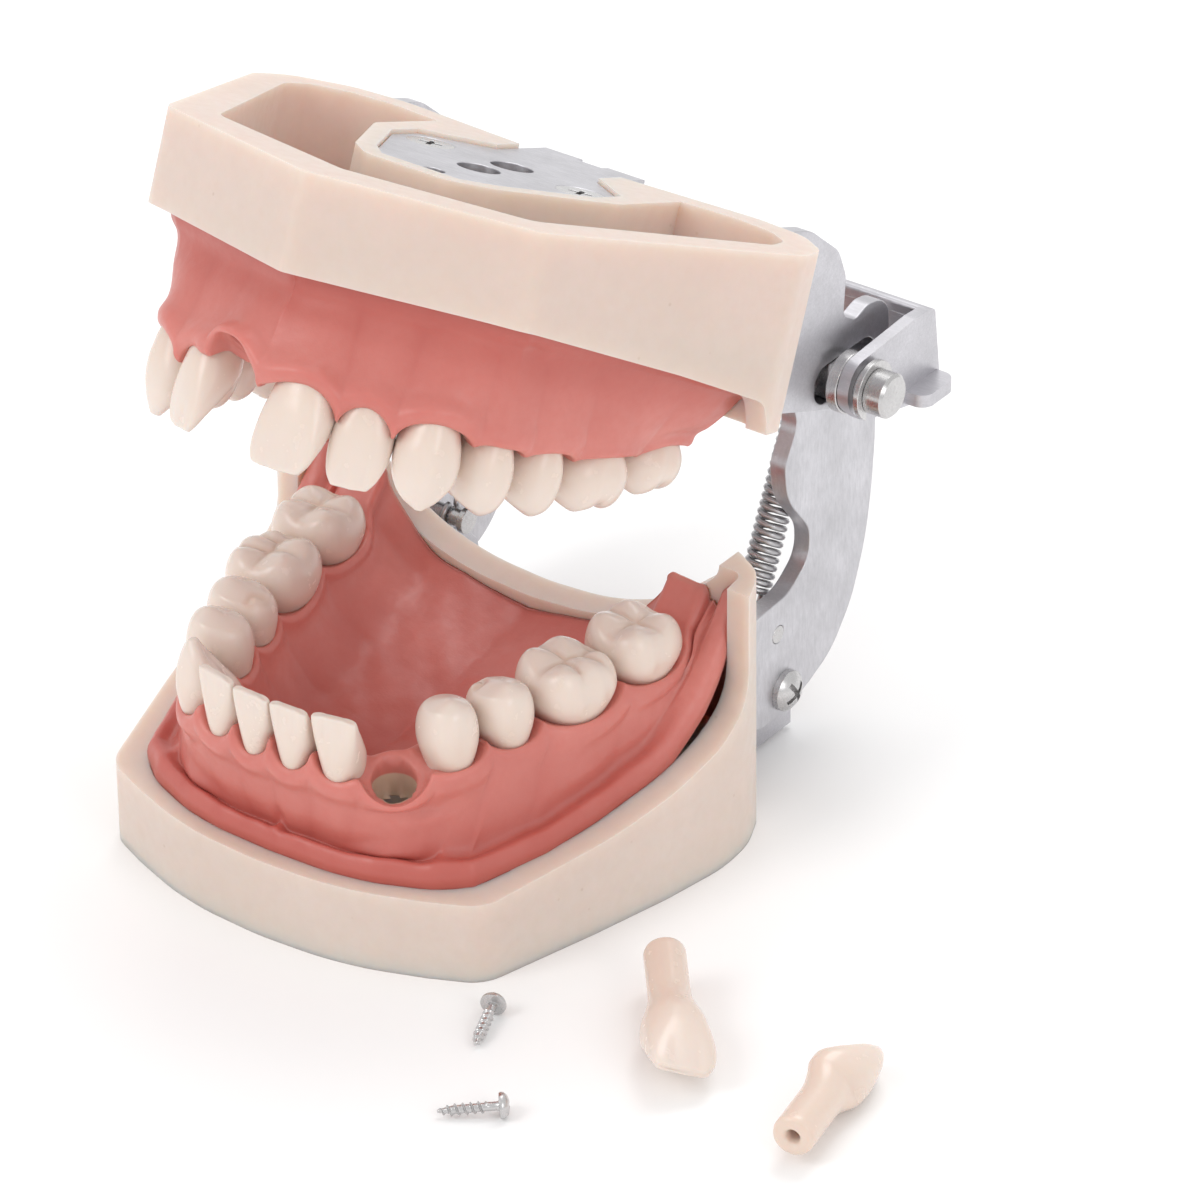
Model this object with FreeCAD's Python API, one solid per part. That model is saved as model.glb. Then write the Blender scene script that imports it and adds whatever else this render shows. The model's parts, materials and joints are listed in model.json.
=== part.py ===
import FreeCAD, Part
import math
import os

# Dental training model: two hinged jaws with removable screw-in teeth.
# Millimetres. Origin: centre of the lower base's rest face. +X is the model's
# own left side, +Y is the rear (hinge side), +Z is up.

V = FreeCAD.Vector
os.makedirs("parts", exist_ok=True)

# ---------------------------------------------------------------- dimensions
# hinge
PIN_Y, PIN_Z = 44.6, 47.6        # jaw hinge axis, parallel to X
PIN_R = 2.7                      # hinge pin radius
PIN_HALF = 36.3                  # half length of the pin
FLAT_W = 4.70                    # across the two flats that ride in the slots
SLOT_W = 4.80                    # slot width in the upper wings
SLOT_A, SLOT_B = 1.95, 5.6       # slot end centres, ahead of and behind the pin
RUN = 0.05                       # radial running clearance
OPEN_DEG = 22.363                # upper jaw tilt in the rest (open) pose
UP_Y, UP_Z = -15.63, 91.96       # front top corner of the upper base, open
# lower base
BASE_DECK = 11.5                 # top of the deck under the gum
BASE_ROOF = 9.0                  # roof of the underside hollow
WALL = 3.6                       # wall thickness of the bases
REAR_Y = 27.5                    # outer face of the lower rear wall
# teeth
PEG_R = 2.40                     # root peg radius
PEG_R_S = 1.90                   # root peg radius of the lower incisors
PEG_L = 10.8                     # root peg length
WEB = 2.0                        # base web between the peg's end and the screw
SCREW_R = 0.70                   # tooth screw thread radius
SCREW_HEAD_R = 1.50              # tooth screw head radius
SCREW_HEAD_H = 1.00
# metalwork
PLATE_T = 2.0                    # plate thickness
ARM_X0, ARM_X1 = 23.7, 26.0      # lower arm, inner and outer face
WING_X0, WING_X1 = 26.3, 28.3    # upper wing, inner and outer face
EAR_X0, EAR_X1 = 30.9, 32.4      # latch ear, inner and outer face
TAP_R = 2.5                      # tapped mounting holes of the plates (M6)

TH = math.radians(OPEN_DEG)
CT, ST = math.cos(TH), math.sin(TH)


# ------------------------------------------------------------------- helpers
def up(shape):
    """Upper jaw frame (x, y', z') to the open rest pose."""
    s = shape.copy()
    s.Placement = FreeCAD.Placement(
        V(0, UP_Y, UP_Z), FreeCAD.Rotation(V(1, 0, 0), -OPEN_DEG)).multiply(s.Placement)
    return s


def up_pt(y, z):
    return (UP_Y + CT * y + ST * z, UP_Z - ST * y + CT * z)


def mirror_pts(half):
    """Closed outline from its x >= 0 half, front centre to rear centre."""
    pts = [V(x, y, 0) for x, y in half]
    left = [V(-x, y, 0) for x, y in reversed(half) if x > 1e-6]
    return pts + left


def rounded(pts, radii, z=0.0):
    """Closed wire of straight sides joined by tangent arcs."""
    n = len(pts)
    if not isinstance(radii, (list, tuple)):
        radii = [radii] * n
    segs = []
    ins, outs, mids = [], [], []
    for i in range(n):
        p, a, b = pts[i], pts[i - 1], pts[(i + 1) % n]
        u = (a - p)
        w = (b - p)
        lu, lw = u.Length, w.Length
        u = u * (1.0 / lu)
        w = w * (1.0 / lw)
        ang = math.acos(max(-1, min(1, u.dot(w))))
        r = radii[i]
        if r <= 0 or ang > math.radians(178.5):
            ins.append(p); outs.append(p); mids.append(None)
            continue
        d = min(r / math.tan(ang / 2), 0.48 * lu, 0.48 * lw)
        r = d * math.tan(ang / 2)
        bis = (u + w)
        bis = bis * (1.0 / bis.Length)
        c = p + bis * (r / math.sin(ang / 2))
        ins.append(p + u * d)
        outs.append(p + w * d)
        mids.append(c - bis * r)
    for i in range(n):
        if mids[i] is not None:
            segs.append(Part.Arc(ins[i], mids[i], outs[i]).toShape())
        q = ins[(i + 1) % n]
        if (q - outs[i]).Length > 1e-6:
            segs.append(Part.LineSegment(outs[i], q).toShape())
    w = Part.Wire(Part.__sortEdges__(segs))
    w.translate(V(0, 0, z))
    return w


def prism(pts, radii, z0, z1):
    w = rounded(pts, radii, z0)
    return Part.Face(w).extrude(V(0, 0, z1 - z0))


def pts2(lst):
    return [V(x, y, 0) for x, y in lst]


def yz_prism(pts, radii, x0, x1):
    """Outline given as (y, z), extruded along X."""
    w = rounded([V(y, z, 0) for y, z in pts], radii)
    f = Part.Face(w)
    s = f.extrude(V(0, 0, x1 - x0))
    # local x -> Y, local y -> Z, local z -> X
    s.Placement = FreeCAD.Placement(
        V(x0, 0, 0), FreeCAD.Rotation(V(0, 1, 0), V(0, 0, 1), V(1, 0, 0), "XYZ"))
    return s


def xz_prism(pts, radii, y0, y1):
    """Outline given as (x, z), extruded along +Y from y0 to y1."""
    w = rounded([V(x, z, 0) for x, z in pts], radii)
    f = Part.Face(w)
    s = f.extrude(V(0, 0, y1 - y0))
    # local x -> X, local y -> Z, local z -> -Y
    s.Placement = FreeCAD.Placement(
        V(0, y1, 0), FreeCAD.Rotation(V(1, 0, 0), V(0, 0, 1), V(0, -1, 0), "XYZ"))
    return s


def xcyl(y, z, r, x0, x1):
    return Part.makeCylinder(r, x1 - x0, V(x0, y, z), V(1, 0, 0))


def mir(shape):
    return shape.mirror(V(0, 0, 0), V(1, 0, 0))


def one(shape):
    """The single solid of a boolean result."""
    sol = shape.Solids
    if len(sol) == 1:
        return sol[0]
    return sorted(sol, key=lambda s: -s.Volume)[0]


NODES = {}


def put(name, shape):
    NODES[name] = shape


def cut(a, *tools):
    for t in tools:
        a = a.cut(t)
    return a


def fuse(a, *tools):
    for t in tools:
        a = a.fuse(t)
    return a


# ---------------------------------------------------------------- tooth tools
def ring(a, b, n, z, cx=0.0, cy=0.0, k=20, lean=0.0):
    """Closed smooth section: superellipse of half sizes a, b and power n."""
    pts = []
    for i in range(k):
        t = 2 * math.pi * i / k
        c, s = math.cos(t), math.sin(t)
        x = a * math.copysign(abs(c) ** (2.0 / n), c) + cx
        y = b * math.copysign(abs(s) ** (2.0 / n), s) + cy
        pts.append(V(x, y, z + lean * x))
    bs = Part.BSplineCurve()
    bs.interpolate(Points=pts, PeriodicFlag=True)
    return Part.Wire([bs.toShape()])


def crown(kind, md, bl, h):
    """Crown in its own frame: x along the arch, -y towards the lip, z to the tip."""
    a, b = md / 2.0, bl / 2.0
    if kind == "incisor":
        rings = [ring(a * .70, b * .92, 2.1, 0.0),
                 ring(a * .86, b * .98, 2.2, h * .30, cy=-b * .06),
                 ring(a * .95, b * .62, 2.6, h * .64, cy=-b * .26),
                 ring(a * .97, b * .34, 3.0, h * .90, cy=-b * .42),
                 ring(a * .90, b * .18, 3.0, h, cy=-b * .46)]
    elif kind == "canine":
        rings = [ring(a * .74, b * .92, 2.0, 0.0),
                 ring(a * .93, b * 1.0, 2.1, h * .35, cy=-b * .04),
                 ring(a * .97, b * .74, 2.2, h * .62, cy=-b * .18),
                 ring(a * .62, b * .44, 2.1, h * .86, cy=-b * .30),
                 ring(a * .18, b * .16, 2.0, h, cy=-b * .34)]
    elif kind == "premolar":
        rings = [ring(a * .76, b * .86, 2.2, 0.0),
                 ring(a * .97, b * 1.0, 2.4, h * .42),
                 ring(a * .96, b * .92, 2.5, h * .72),
                 ring(a * .72, b * .62, 2.5, h * .97)]
    else:
        rings = [ring(a * .84, b * .88, 2.6, 0.0),
                 ring(a * .98, b * 1.0, 2.9, h * .42),
                 ring(a * .96, b * .92, 3.0, h * .74),
                 ring(a * .80, b * .68, 3.0, h * .97)]
    body = Part.makeLoft(rings, True, False)
    if kind in ("premolar", "molar"):
        # central fissure and, on a molar, the cross fissure
        dep = h * (.20 if kind == "premolar" else .16)
        top = h * .97 + .01
        g = Part.Face(Part.makePolygon([V(-md, -dep * 1.3, top + .3), V(-md, dep * 1.3, top + .3),
                                        V(-md, 0, top - dep), V(-md, -dep * 1.3, top + .3)]))
        body = body.cut(g.extrude(V(2 * md, 0, 0)))
        if kind == "molar":
            g = Part.Face(Part.makePolygon([V(-dep * 1.1, -bl, top + .3), V(dep * 1.1, -bl, top + .3),
                                            V(0, -bl, top - dep * .9), V(-dep * 1.1, -bl, top + .3)]))
            body = body.cut(g.extrude(V(0, 2 * bl, 0)))
    return body


def tooth_local(kind, md, bl, h, peg_r):
    c = crown(kind, md, bl, h)
    peg = Part.makeCylinder(peg_r, PEG_L + .6, V(0, 0, -PEG_L), V(0, 0, 1))
    t = c.fuse(peg)
    t = t.cut(Part.makeCylinder(SCREW_R + RUN, 6.2, V(0, 0, -PEG_L - .1), V(0, 0, 1)))
    return one(t)


def screw_local():
    """Tooth screw, coaxial with a tooth: the head seats under the web."""
    z = -PEG_L - WEB
    head = Part.makeCylinder(SCREW_HEAD_R, SCREW_HEAD_H, V(0, 0, z - SCREW_HEAD_H), V(0, 0, 1))
    dome = Part.makeSphere(2.6, V(0, 0, z + 1.45))
    head = head.common(dome)
    shank = Part.makeCylinder(SCREW_R, 6.0, V(0, 0, z - .2), V(0, 0, 1))
    tip = Part.makeCone(SCREW_R, .15, 1.5, V(0, 0, z + 5.8), V(0, 0, 1))
    s = head.fuse(shank).fuse(tip)
    cross = Part.makeBox(1.5, .35, .5, V(-.75, -.175, z - SCREW_HEAD_H - .1))
    cross = cross.fuse(Part.makeBox(.35, 1.5, .5, V(-.175, -.75, z - SCREW_HEAD_H - .1)))
    return one(s.cut(cross).removeSplitter())


def frame_of(x, y, z, out_ang, tilt, down):
    """Placement of a tooth. out_ang: direction of the lip side in the XY plane."""
    o = V(math.cos(out_ang), math.sin(out_ang), 0)
    yl = o * -1.0
    zl = V(0, 0, -1 if down else 1)
    xl = yl.cross(zl)
    rot = FreeCAD.Rotation(xl, yl, zl, "XYZ")
    pl = FreeCAD.Placement(V(x, y, z), rot)
    return pl.multiply(FreeCAD.Placement(V(0, 0, 0), FreeCAD.Rotation(V(1, 0, 0), tilt)))


def moved(shape, pl):
    s = shape.copy()
    s.Placement = pl.multiply(s.Placement)
    return s


# name, kind, x, y, lip direction (deg from +X), width along arch, depth, neck z,
# crown height, tilt, peg radius. Listed for the model's left side.
LOWER = [
    ("central_incisor", "incisor", 2.56, -22.1, -88, 5.0, 6.0, 21.3, 8.7, 8, PEG_R_S),
    ("lateral_incisor", "incisor", 7.80, -21.3, -79, 5.5, 6.2, 21.3, 8.8, 7, PEG_R_S),
    ("canine", "canine", 12.75, -18.95, -50, 6.2, 7.4, 20.8, 9.9, 4, PEG_R),
    ("first_premolar", "premolar", 16.0, -13.4, -24, 6.7, 7.7, 22.0, 8.3, 0, PEG_R),
    ("second_premolar", "premolar", 18.2, -6.6, -13, 6.9, 8.1, 22.2, 7.7, 0, PEG_R),
    ("first_molar", "molar", 20.7, 2.4, -10, 10.8, 10.2, 22.4, 7.3, 0, PEG_R),
    ("second_molar", "molar", 22.4, 13.0, -5, 10.1, 10.0, 22.8, 7.0, 0, PEG_R),
]
UPPER = [
    ("central_incisor", "incisor", 4.45, 4.0, -86, 8.0, 7.0, -21.9, 10.9, 11, PEG_R),
    ("lateral_incisor", "incisor", 10.4, 7.1, -63, 6.9, 6.2, -22.9, 10.0, 9, PEG_R),
    ("canine", "canine", 16.2, 10.6, -46, 7.4, 8.2, -22.8, 10.7, 7, PEG_R),
    ("first_premolar", "premolar", 19.2, 16.7, -22, 6.9, 9.0, -24.6, 8.7, 0, PEG_R),
    ("second_premolar", "premolar", 21.0, 23.4, -13, 6.8, 9.2, -24.9, 8.3, 0, PEG_R),
    ("first_molar", "molar", 22.0, 32.1, -8, 10.2, 10.8, -25.3, 7.5, 0, PEG_R),
    ("second_molar", "molar", 22.7, 42.2, -2, 9.6, 10.4, -24.3, 6.9, 0, PEG_R),
]


def places(table, down):
    out = []
    for name, kind, x, y, ang, md, bl, zc, h, tilt, pr in table:
        for side, sx in (("left", 1), ("right", -1)):
            a = ang if sx > 0 else 180 - ang
            out.append((side + "_" + name, kind, md, bl, h, pr,
                        frame_of(sx * x, y, zc, math.radians(a), tilt, down)))
    return out


LOW = places(LOWER, False)
UPP = places(UPPER, True)
LOOSE = ("lower_left_canine", "upper_right_central_incisor")

screw0 = screw_local()
cache = {}


def tooth_for(kind, md, bl, h, pr):
    key = (kind, md, bl, h, pr)
    if key not in cache:
        cache[key] = tooth_local(*key)
    return cache[key]


def bore_tool(pr, pl, extra):
    """Socket of a tooth: peg bore, screw hole through the web, head clearance."""
    t = Part.makeCylinder(pr + RUN, PEG_L + extra, V(0, 0, -PEG_L), V(0, 0, 1))
    t = t.fuse(Part.makeCylinder(.90, WEB + 1.0, V(0, 0, -PEG_L - WEB - .5), V(0, 0, 1)))
    return moved(t, pl)


def head_tool(pl, h):
    return moved(Part.makeCylinder(SCREW_HEAD_R + .45, h, V(0, 0, -PEG_L - WEB - h), V(0, 0, 1)), pl)


def gum_tool(kind, md, bl, h, pr, pl, loose):
    """Space for a tooth in the gum: the crown's foot and the peg."""
    r = pr + (.25 if loose else .12)
    t = Part.makeCylinder(r, PEG_L + 14, V(0, 0, -PEG_L - 2), V(0, 0, 1))
    if not loose:
        foot = Part.makeLoft([ring(md * .5 * .70 + .10, bl * .5 * .93 + .10, 2.2, -.25),
                              ring(md * .5 * 1.0 + .10, bl * .5 * 1.02 + .10, 2.4, h * .42),
                              ring(md * .5 * 1.02 + .10, bl * .5 * 1.04 + .10, 2.4, h * 1.15)], True, False)
        t = t.fuse(foot)
    return moved(t, pl)


# ------------------------------------------------------------- lower base
LB = [(0, -27.9), (8.3, -27.4), (14.0, -26.2), (20.4, -23.9), (26.4, -21.2), (30.5, -6.4),
      (33.1, 4.4), (34.6, 13.4), (34.1, 19.0), (31.6, 24.6), (26.5, REAR_Y), (0, REAR_Y)]
LB_R = [40, 40, 30, 25, 5.0, 60, 60, 18, 12, 6, 6, 0]


def sym_r(r, half):
    return list(r) + [q for q, (x, y) in zip(reversed(r), reversed(half)) if x > 1e-6]


def inset(half, d):
    """Half outline moved inwards by d."""
    full = mirror_pts(half)
    n = len(full)
    area = sum(full[i].x * full[(i + 1) % n].y - full[(i + 1) % n].x * full[i].y for i in range(n))
    sg = 1.0 if area > 0 else -1.0
    res = []
    for i, (x, y) in enumerate(half):
        a, p, b = full[i - 1], full[i], full[(i + 1) % n]
        e1 = (p - a); e1 = e1 * (1 / e1.Length)
        e2 = (b - p); e2 = e2 * (1 / e2.Length)
        n1 = V(-e1.y, e1.x, 0) * sg
        n2 = V(-e2.y, e2.x, 0) * sg
        m = n1 + n2
        m = m * (1.0 / m.Length)
        k = d / max(.5, m.dot(n1))
        q = p + m * k
        res.append((0.0 if abs(x) < 1e-6 else q.x, q.y))
    return res


outline = prism(mirror_pts(LB), sym_r(LB_R, LB), 0, 32.6)
# side profile of the rim: low lip in front, rising to the rear posts
rim = [(-40, 10.0), (-20, 10.2), (-11.5, 11.0), (-2, 12.0), (6.2, 13.8), (12.6, 16.0), (17.4, 18.4),
       (19.2, 20.6), (19.6, 23.0), (19.8, 40), (-40, 40)]
outline = outline.cut(yz_prism(rim, [0, 30, 30, 30, 30, 20, 8, 4, 6, 0, 0], -40, 40))
# rear wall: high posts at the sides, low in the middle
rear = [(-27.0, 40), (-27.0, 31.5), (-24.2, 28.6), (-17, 22.6), (-9, 19.8), (0, 19.2), (9, 19.8),
        (17, 22.6), (24.2, 28.6), (27.0, 31.5), (27.0, 40)]
outline = outline.cut(xz_prism(rear, [0, 3, 20, 20, 30, 30, 30, 20, 20, 3, 0], 10, 40))
# seat for the gum: everything inside the lip, down to the deck
GB = [(0, -25.5), (7.9, -25.2), (13.1, -24.2), (19.6, -21.6), (23.3, -18.6), (26.6, -9.5), (28.9, 1.5),
      (30.6, 9.0), (31.1, 15.0), (30.9, 18.0), (30.2, 23.4), (0, 23.4)]
GB_R = [30, 30, 20, 14, 8, 40, 40, 30, 20, 10, 1.5, 0]
seat = prism(mirror_pts(GB), sym_r(GB_R, GB), BASE_DECK, 45)
edge_ring = prism(mirror_pts(GB), sym_r(GB_R, GB), 9.9, BASE_DECK)
edge_in = prism(mirror_pts(inset(GB, 2.0)), sym_r(GB_R, GB), 9.9, BASE_DECK)
front_half = Part.makeBox(80, 26, 10, V(-40, -40, 5))
lower_base = outline.cut(seat)
lower_base = lower_base.cut(edge_ring.cut(edge_in).common(front_half))


# alveolar core: horseshoe that holds the tooth sockets
def arch(table, ext):
    pts = [(x, y) for _, _, x, y, *_ in table]
    pts = pts + [ext]
    return pts


def offset_path(pts, d):
    """Offset an open half arch (x >= 0), outwards for d > 0."""
    full = [(-x, y) for x, y in reversed(pts)] + list(pts)
    n = len(full)
    res = []
    for i in range(n // 2, n):
        a = full[i - 1]
        b = full[min(i + 1, n - 1)]
        tx, ty = b[0] - a[0], b[1] - a[1]
        ln = math.hypot(tx, ty)
        # outward of an arch walked from its right end to its left end
        nx, ny = ty / ln, -tx / ln
        res.append((full[i][0] + nx * d, full[i][1] + ny * d))
    return res


def horseshoe(table, ext, dout, din):
    pts = arch(table, ext)
    o = offset_path(pts, dout)
    i = offset_path(pts, -din)
    pts = [V(-x, y, 0) for x, y in reversed(o)] + [V(x, y, 0) for x, y in o]
    pts += [V(x, y, 0) for x, y in reversed(i)] + [V(-x, y, 0) for x, y in i]
    return pts


core = horseshoe(LOWER, (22.9, 18.4), 3.3, 4.2)
core = prism(core, 1.2, BASE_DECK - .5, 17.0)
core = core.common(prism(mirror_pts(inset(GB, 2.9)), sym_r(GB_R, GB), 5, 30))
lower_base = lower_base.fuse(core)
# underside hollow with a central island for the frame plate
hol = inset(LB, WALL)
hollow = prism(mirror_pts(hol), 3.0, -1, BASE_ROOF)
isl = [(0, -2.4), (8.0, -2.4), (14.5, 5.0), (14.5, 15.0), (11.0, REAR_Y), (0, REAR_Y)]
island = prism(mirror_pts(isl), [0, 3, 3, 3, 2, 0, 2, 3, 3, 3], -2, BASE_ROOF + 1)
hollow = hollow.cut(island)
lower_base = lower_base.cut(hollow)
# recess of the frame plate and its way out through the rear wall
LPL = [(0, 1.1), (6.4, 1.1), (12.0, 7.4), (12.0, 14.2), (8.6, 19.0), (8.6, 28.6), (ARM_X0, 28.6), (ARM_X0, 42.5),
       (ARM_X0 - PLATE_T, 42.5), (ARM_X0 - PLATE_T, 33.5), (0, 33.5)]
REC = [(0, 1.0), (6.45, 1.0), (12.1, 7.35), (12.1, 14.25), (8.7, 19.05), (8.7, 30), (0, 30)]
LOW_TAPS = (5.6, 16.4)           # tapped mounting holes of the lower plate, on Y
UP_TAPS = (34.0, 40.6)           # tapped mounting holes of the upper plate, on y'
rec = prism(mirror_pts(REC), 0, -1, .6 + PLATE_T)
lower_base = lower_base.cut(rec)
for nm, kind, md, bl, h, pr, pl in LOW:
    lower_base = lower_base.cut(bore_tool(pr, pl, 14))
    lower_base = lower_base.cut(head_tool(pl, 12))
# pilot holes of the frame screws, and room behind the tapped holes
for sx in (-1, 1):
    lower_base = lower_base.cut(Part.makeCylinder(1.3, 9.0, V(sx * 8.6, 10.8, -.5)))
for y in LOW_TAPS:
    lower_base = lower_base.cut(Part.makeCylinder(3.2, 5.4, V(0, y, 2.0)))
put("lower_base", one(lower_base))

# ------------------------------------------------------------- lower gum
gum = prism(mirror_pts(inset(GB, .05)), sym_r(GB_R, GB), 9.9, 13.4)
lip = prism(mirror_pts(inset(GB, 1.1)), sym_r(GB_R, GB), 13.0, 16.4)
ext_l = (22.9, 21.4)


def loft2(a, za, b, zb):
    wa = Part.makePolygon([V(p.x, p.y, za) for p in a] + [V(a[0].x, a[0].y, za)])
    wb = Part.makePolygon([V(p.x, p.y, zb) for p in b] + [V(b[0].x, b[0].y, zb)])
    return Part.makeLoft([wa, wb], True, True)


ridge = loft2(horseshoe(LOWER, ext_l, 6.1, 8.2), 12.0, horseshoe(LOWER, ext_l, 4.4, 4.6), 22.4)
inside = prism(mirror_pts(inset(GB, .05)), sym_r(GB_R, GB), 9.9, 40)
ridge = ridge.common(inside)
gum = gum.fuse(ridge)
# tongue floor rising to the rear wall
floor = yz_prism([(-17, 12.0), (-12, 13.2), (4, 14.4), (16, 16.6), (23.3, 18.6), (23.3, 12.0)],
                 [0, 6, 30, 30, 0, 0], -15.5, 15.5)
gum = gum.fuse(floor)
for sx in (-1, 1):
    pad = loft2([V(sx * x, y, 0) for x, y in ((17.5, 16.2), (30.4, 16.2), (30.0, 23.3), (17.0, 23.3))], 14.0,
                [V(sx * x, y, 0) for x, y in ((19.5, 18.8), (27.6, 18.8), (27.2, 23.2), (19.2, 23.2))], 31.2)
    gum = gum.fuse(pad)
gum = gum.cut(lower_base)
for nm, kind, md, bl, h, pr, pl in LOW:
    gum = gum.cut(gum_tool(kind, md, bl, h, pr, pl, "lower_" + nm in LOOSE))
    if "lower_" + nm not in LOOSE:
        gum = gum.cut(moved(tooth_for(kind, md, bl, h, pr), pl))
put("lower_gingiva", one(gum))

# ------------------------------------------------------------- lower teeth
screws = []
for nm, kind, md, bl, h, pr, pl in LOW:
    full = "lower_" + nm
    if full in LOOSE:
        continue
    put(full, moved(tooth_for(kind, md, bl, h, pr), pl))
    screws.append(moved(screw0, pl))
put("lower_tooth_screws", screws)

# ------------------------------------------------------------- lower frame
z0 = .6
plate = prism(mirror_pts(LPL), 0, z0, z0 + PLATE_T)
for sx in (-1, 1):
    fl = yz_prism([(28.6, z0), (42.5, z0), (42.5, 10.0), (39.5, 13.4), (34.0, 13.4), (28.6, 9.0)],
                  [0, 2, 3, 3, 3, 2], ARM_X0 - PLATE_T, ARM_X0)
    if sx < 0:
        fl = mir(fl)
    plate = plate.fuse(fl)
for y in LOW_TAPS:
    plate = plate.cut(Part.makeCylinder(TAP_R, 6, V(0, y, -1)))
for sx in (-1, 1):
    plate = plate.cut(Part.makeCylinder(1.55, 6, V(sx * 8.6, 10.8, -1)))
    plate = plate.cut(Part.makeCone(2.95, 1.5, 1.45, V(sx * 8.6, 10.8, z0 - .05)))
    plate = plate.cut(xcyl(37.8, 8.4, 1.55, sx * 22.7 - 3, sx * 22.7 + 3))
put("lower_frame_plate", one(plate.removeSplitter()))


def csk_screw(length):
    """Countersunk cross-head screw, head face at z = 0 and shank towards -z."""
    s = Part.makeCone(1.4, 2.85, 1.4, V(0, 0, -1.4), V(0, 0, 1))
    s = s.fuse(Part.makeCylinder(1.25, length, V(0, 0, -length), V(0, 0, 1)))
    s = s.fuse(Part.makeCone(.2, 1.25, 1.2, V(0, 0, -length - 1.2), V(0, 0, 1)))
    for a in (0, 90):
        b = Part.makeBox(2.8, .6, 1.0, V(-1.4, -.3, -.9))
        b.rotate(V(0, 0, 0), V(0, 0, 1), a + 20)
        s = s.cut(b)
    return one(s)


csk = csk_screw(6.0)
fs = []
for sx in (-1, 1):
    s = csk.copy()
    s.rotate(V(0, 0, 0), V(1, 0, 0), 180)
    s.translate(V(sx * 8.6, 10.8, z0 + .05))
    fs.append(s)
put("lower_frame_screws", fs)

# lower arms with the pin holes
ARM = [(29.2, 7.0), (33.0, 5.2), (38.5, 5.2), (43.0, 6.8), (47.5, 8.8), (51.6, 13.8), (54.4, 20.6), (55.6, 27.1),
       (56.2, 33.0), (56.4, 40.0), (54.6, 47.5), (50.8, 52.6), (45.6, 54.2), (40.6, 52.0), (38.8, 47.0),
       (40.6, 42.6), (37.9, 38.0), (38.4, 33.4), (42.9, 27.6), (42.9, 23.8), (38.8, 20.9), (29.2, 20.4)]
ARM_RR = [2, 3, 6, 8, 14, 14, 30, 40, 40, 20, 8, 7, 7, 6, 4, 3, 4, 8, 4, 4, 6, 1.5]
arms = []
for sx in (-1, 1):
    a = yz_prism(ARM, ARM_RR, ARM_X0, ARM_X1)
    a = a.cut(xcyl(PIN_Y, PIN_Z, PIN_R + RUN, 20, 30))
    a = a.cut(xcyl(37.8, 8.4, 1.55, 20, 30))
    a = a.cut(xcyl(36.6, 16.4, 1.1, 20, 30))
    if sx < 0:
        a = mir(a)
    arms.append(a)
put("left_arm", one(arms[1]))
put("right_arm", one(arms[0]))


def pan_screw(r, head_r, head_h, length):
    """Pan head cross screw along +Z, head seat at z = 0, shank towards -z."""
    h = Part.makeCylinder(head_r, head_h, V(0, 0, 0))
    rr = (head_r ** 2 + head_h ** 2) / (2 * head_h) * 1.25
    h = h.common(Part.makeSphere(rr, V(0, 0, head_h - rr)))
    s = h.fuse(Part.makeCylinder(r, length, V(0, 0, -length)))
    for a in (0, 90):
        b = Part.makeBox(head_r * 1.3, .6, 1.2, V(-head_r * .65, -.3, head_h - .9))
        b.rotate(V(0, 0, 0), V(0, 0, 1), a + 30)
        s = s.cut(b)
    return one(s)


def along_x(shape, x, y, z, sx):
    s = shape.copy()
    s.rotate(V(0, 0, 0), V(0, 1, 0), 90 * sx)
    s.translate(V(x * sx, y, z))
    return s


asc = pan_screw(1.5, 2.5, 1.9, 4.2)
put("arm_screws", [along_x(asc, ARM_X1, 37.8, 8.4, sx) for sx in (1, -1)])

# spring posts riveted in the arms, headed on the inside
posts = []
for sx in (-1, 1):
    p = fuse(xcyl(36.6, 16.4, 1.1, 19.4, ARM_X1), xcyl(36.6, 16.4, 1.6, 18.6, 19.4))
    posts.append(one(mir(p) if sx < 0 else p))
put("spring_posts", posts)

# ------------------------------------------------------------- hinge pin
pin = Part.makeCylinder(PIN_R, 2 * PIN_HALF, V(-PIN_HALF, PIN_Y, PIN_Z), V(1, 0, 0))
pin = pin.common(Part.makeBox(200, 200, 200, V(-100, -100, -100)))
for sx in (-1, 1):
    # flats across Z where the pin runs in the slots
    for sz in (-1, 1):
        b = Part.makeBox(2.9, 10, 4, V(26.2, PIN_Y - 5, PIN_Z + (FLAT_W / 2 if sz > 0 else -FLAT_W / 2 - 4)))
        pin = pin.cut(mir(b) if sx < 0 else b)
    # groove of the retaining clip
    g = Part.makeCylinder(PIN_R + 2, .8, V(33.0 if sx > 0 else -33.8, PIN_Y, PIN_Z), V(1, 0, 0))
    g = g.cut(Part.makeCylinder(PIN_R - .6, 5, V(31 if sx > 0 else -36, PIN_Y, PIN_Z), V(1, 0, 0)))
    pin = pin.cut(g)
pin = one(pin)
try:
    ends = [e for e in pin.Edges if abs(abs(e.BoundBox.XMin) - PIN_HALF) < 1e-3 and e.BoundBox.XLength < 1e-3]
    pin = one(pin.makeChamfer(.35, ends))
except Exception:
    pass
put("hinge_pin", pin)


def ring_x(r_out, r_in, x0, x1, sx):
    s = xcyl(PIN_Y, PIN_Z, r_out, x0, x1).cut(xcyl(PIN_Y, PIN_Z, r_in, x0 - 1, x1 + 1))
    return one(mir(s) if sx < 0 else s)


put("pin_washers", [ring_x(3.7, PIN_R + RUN, 29.3, 30.8, sx) for sx in (1, -1)])
clips = []
for sx in (1, -1):
    c = xcyl(PIN_Y, PIN_Z, 3.6, 33.05, 33.75).cut(xcyl(PIN_Y, PIN_Z, PIN_R - .55, 32, 35))
    mouth = Part.makeBox(3, 3.4, 8, V(32, PIN_Y - 1.7, PIN_Z - 8))
    c = c.cut(mouth)
    clips.append(one(mir(c) if sx < 0 else c))
put("pin_clips", clips)

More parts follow.
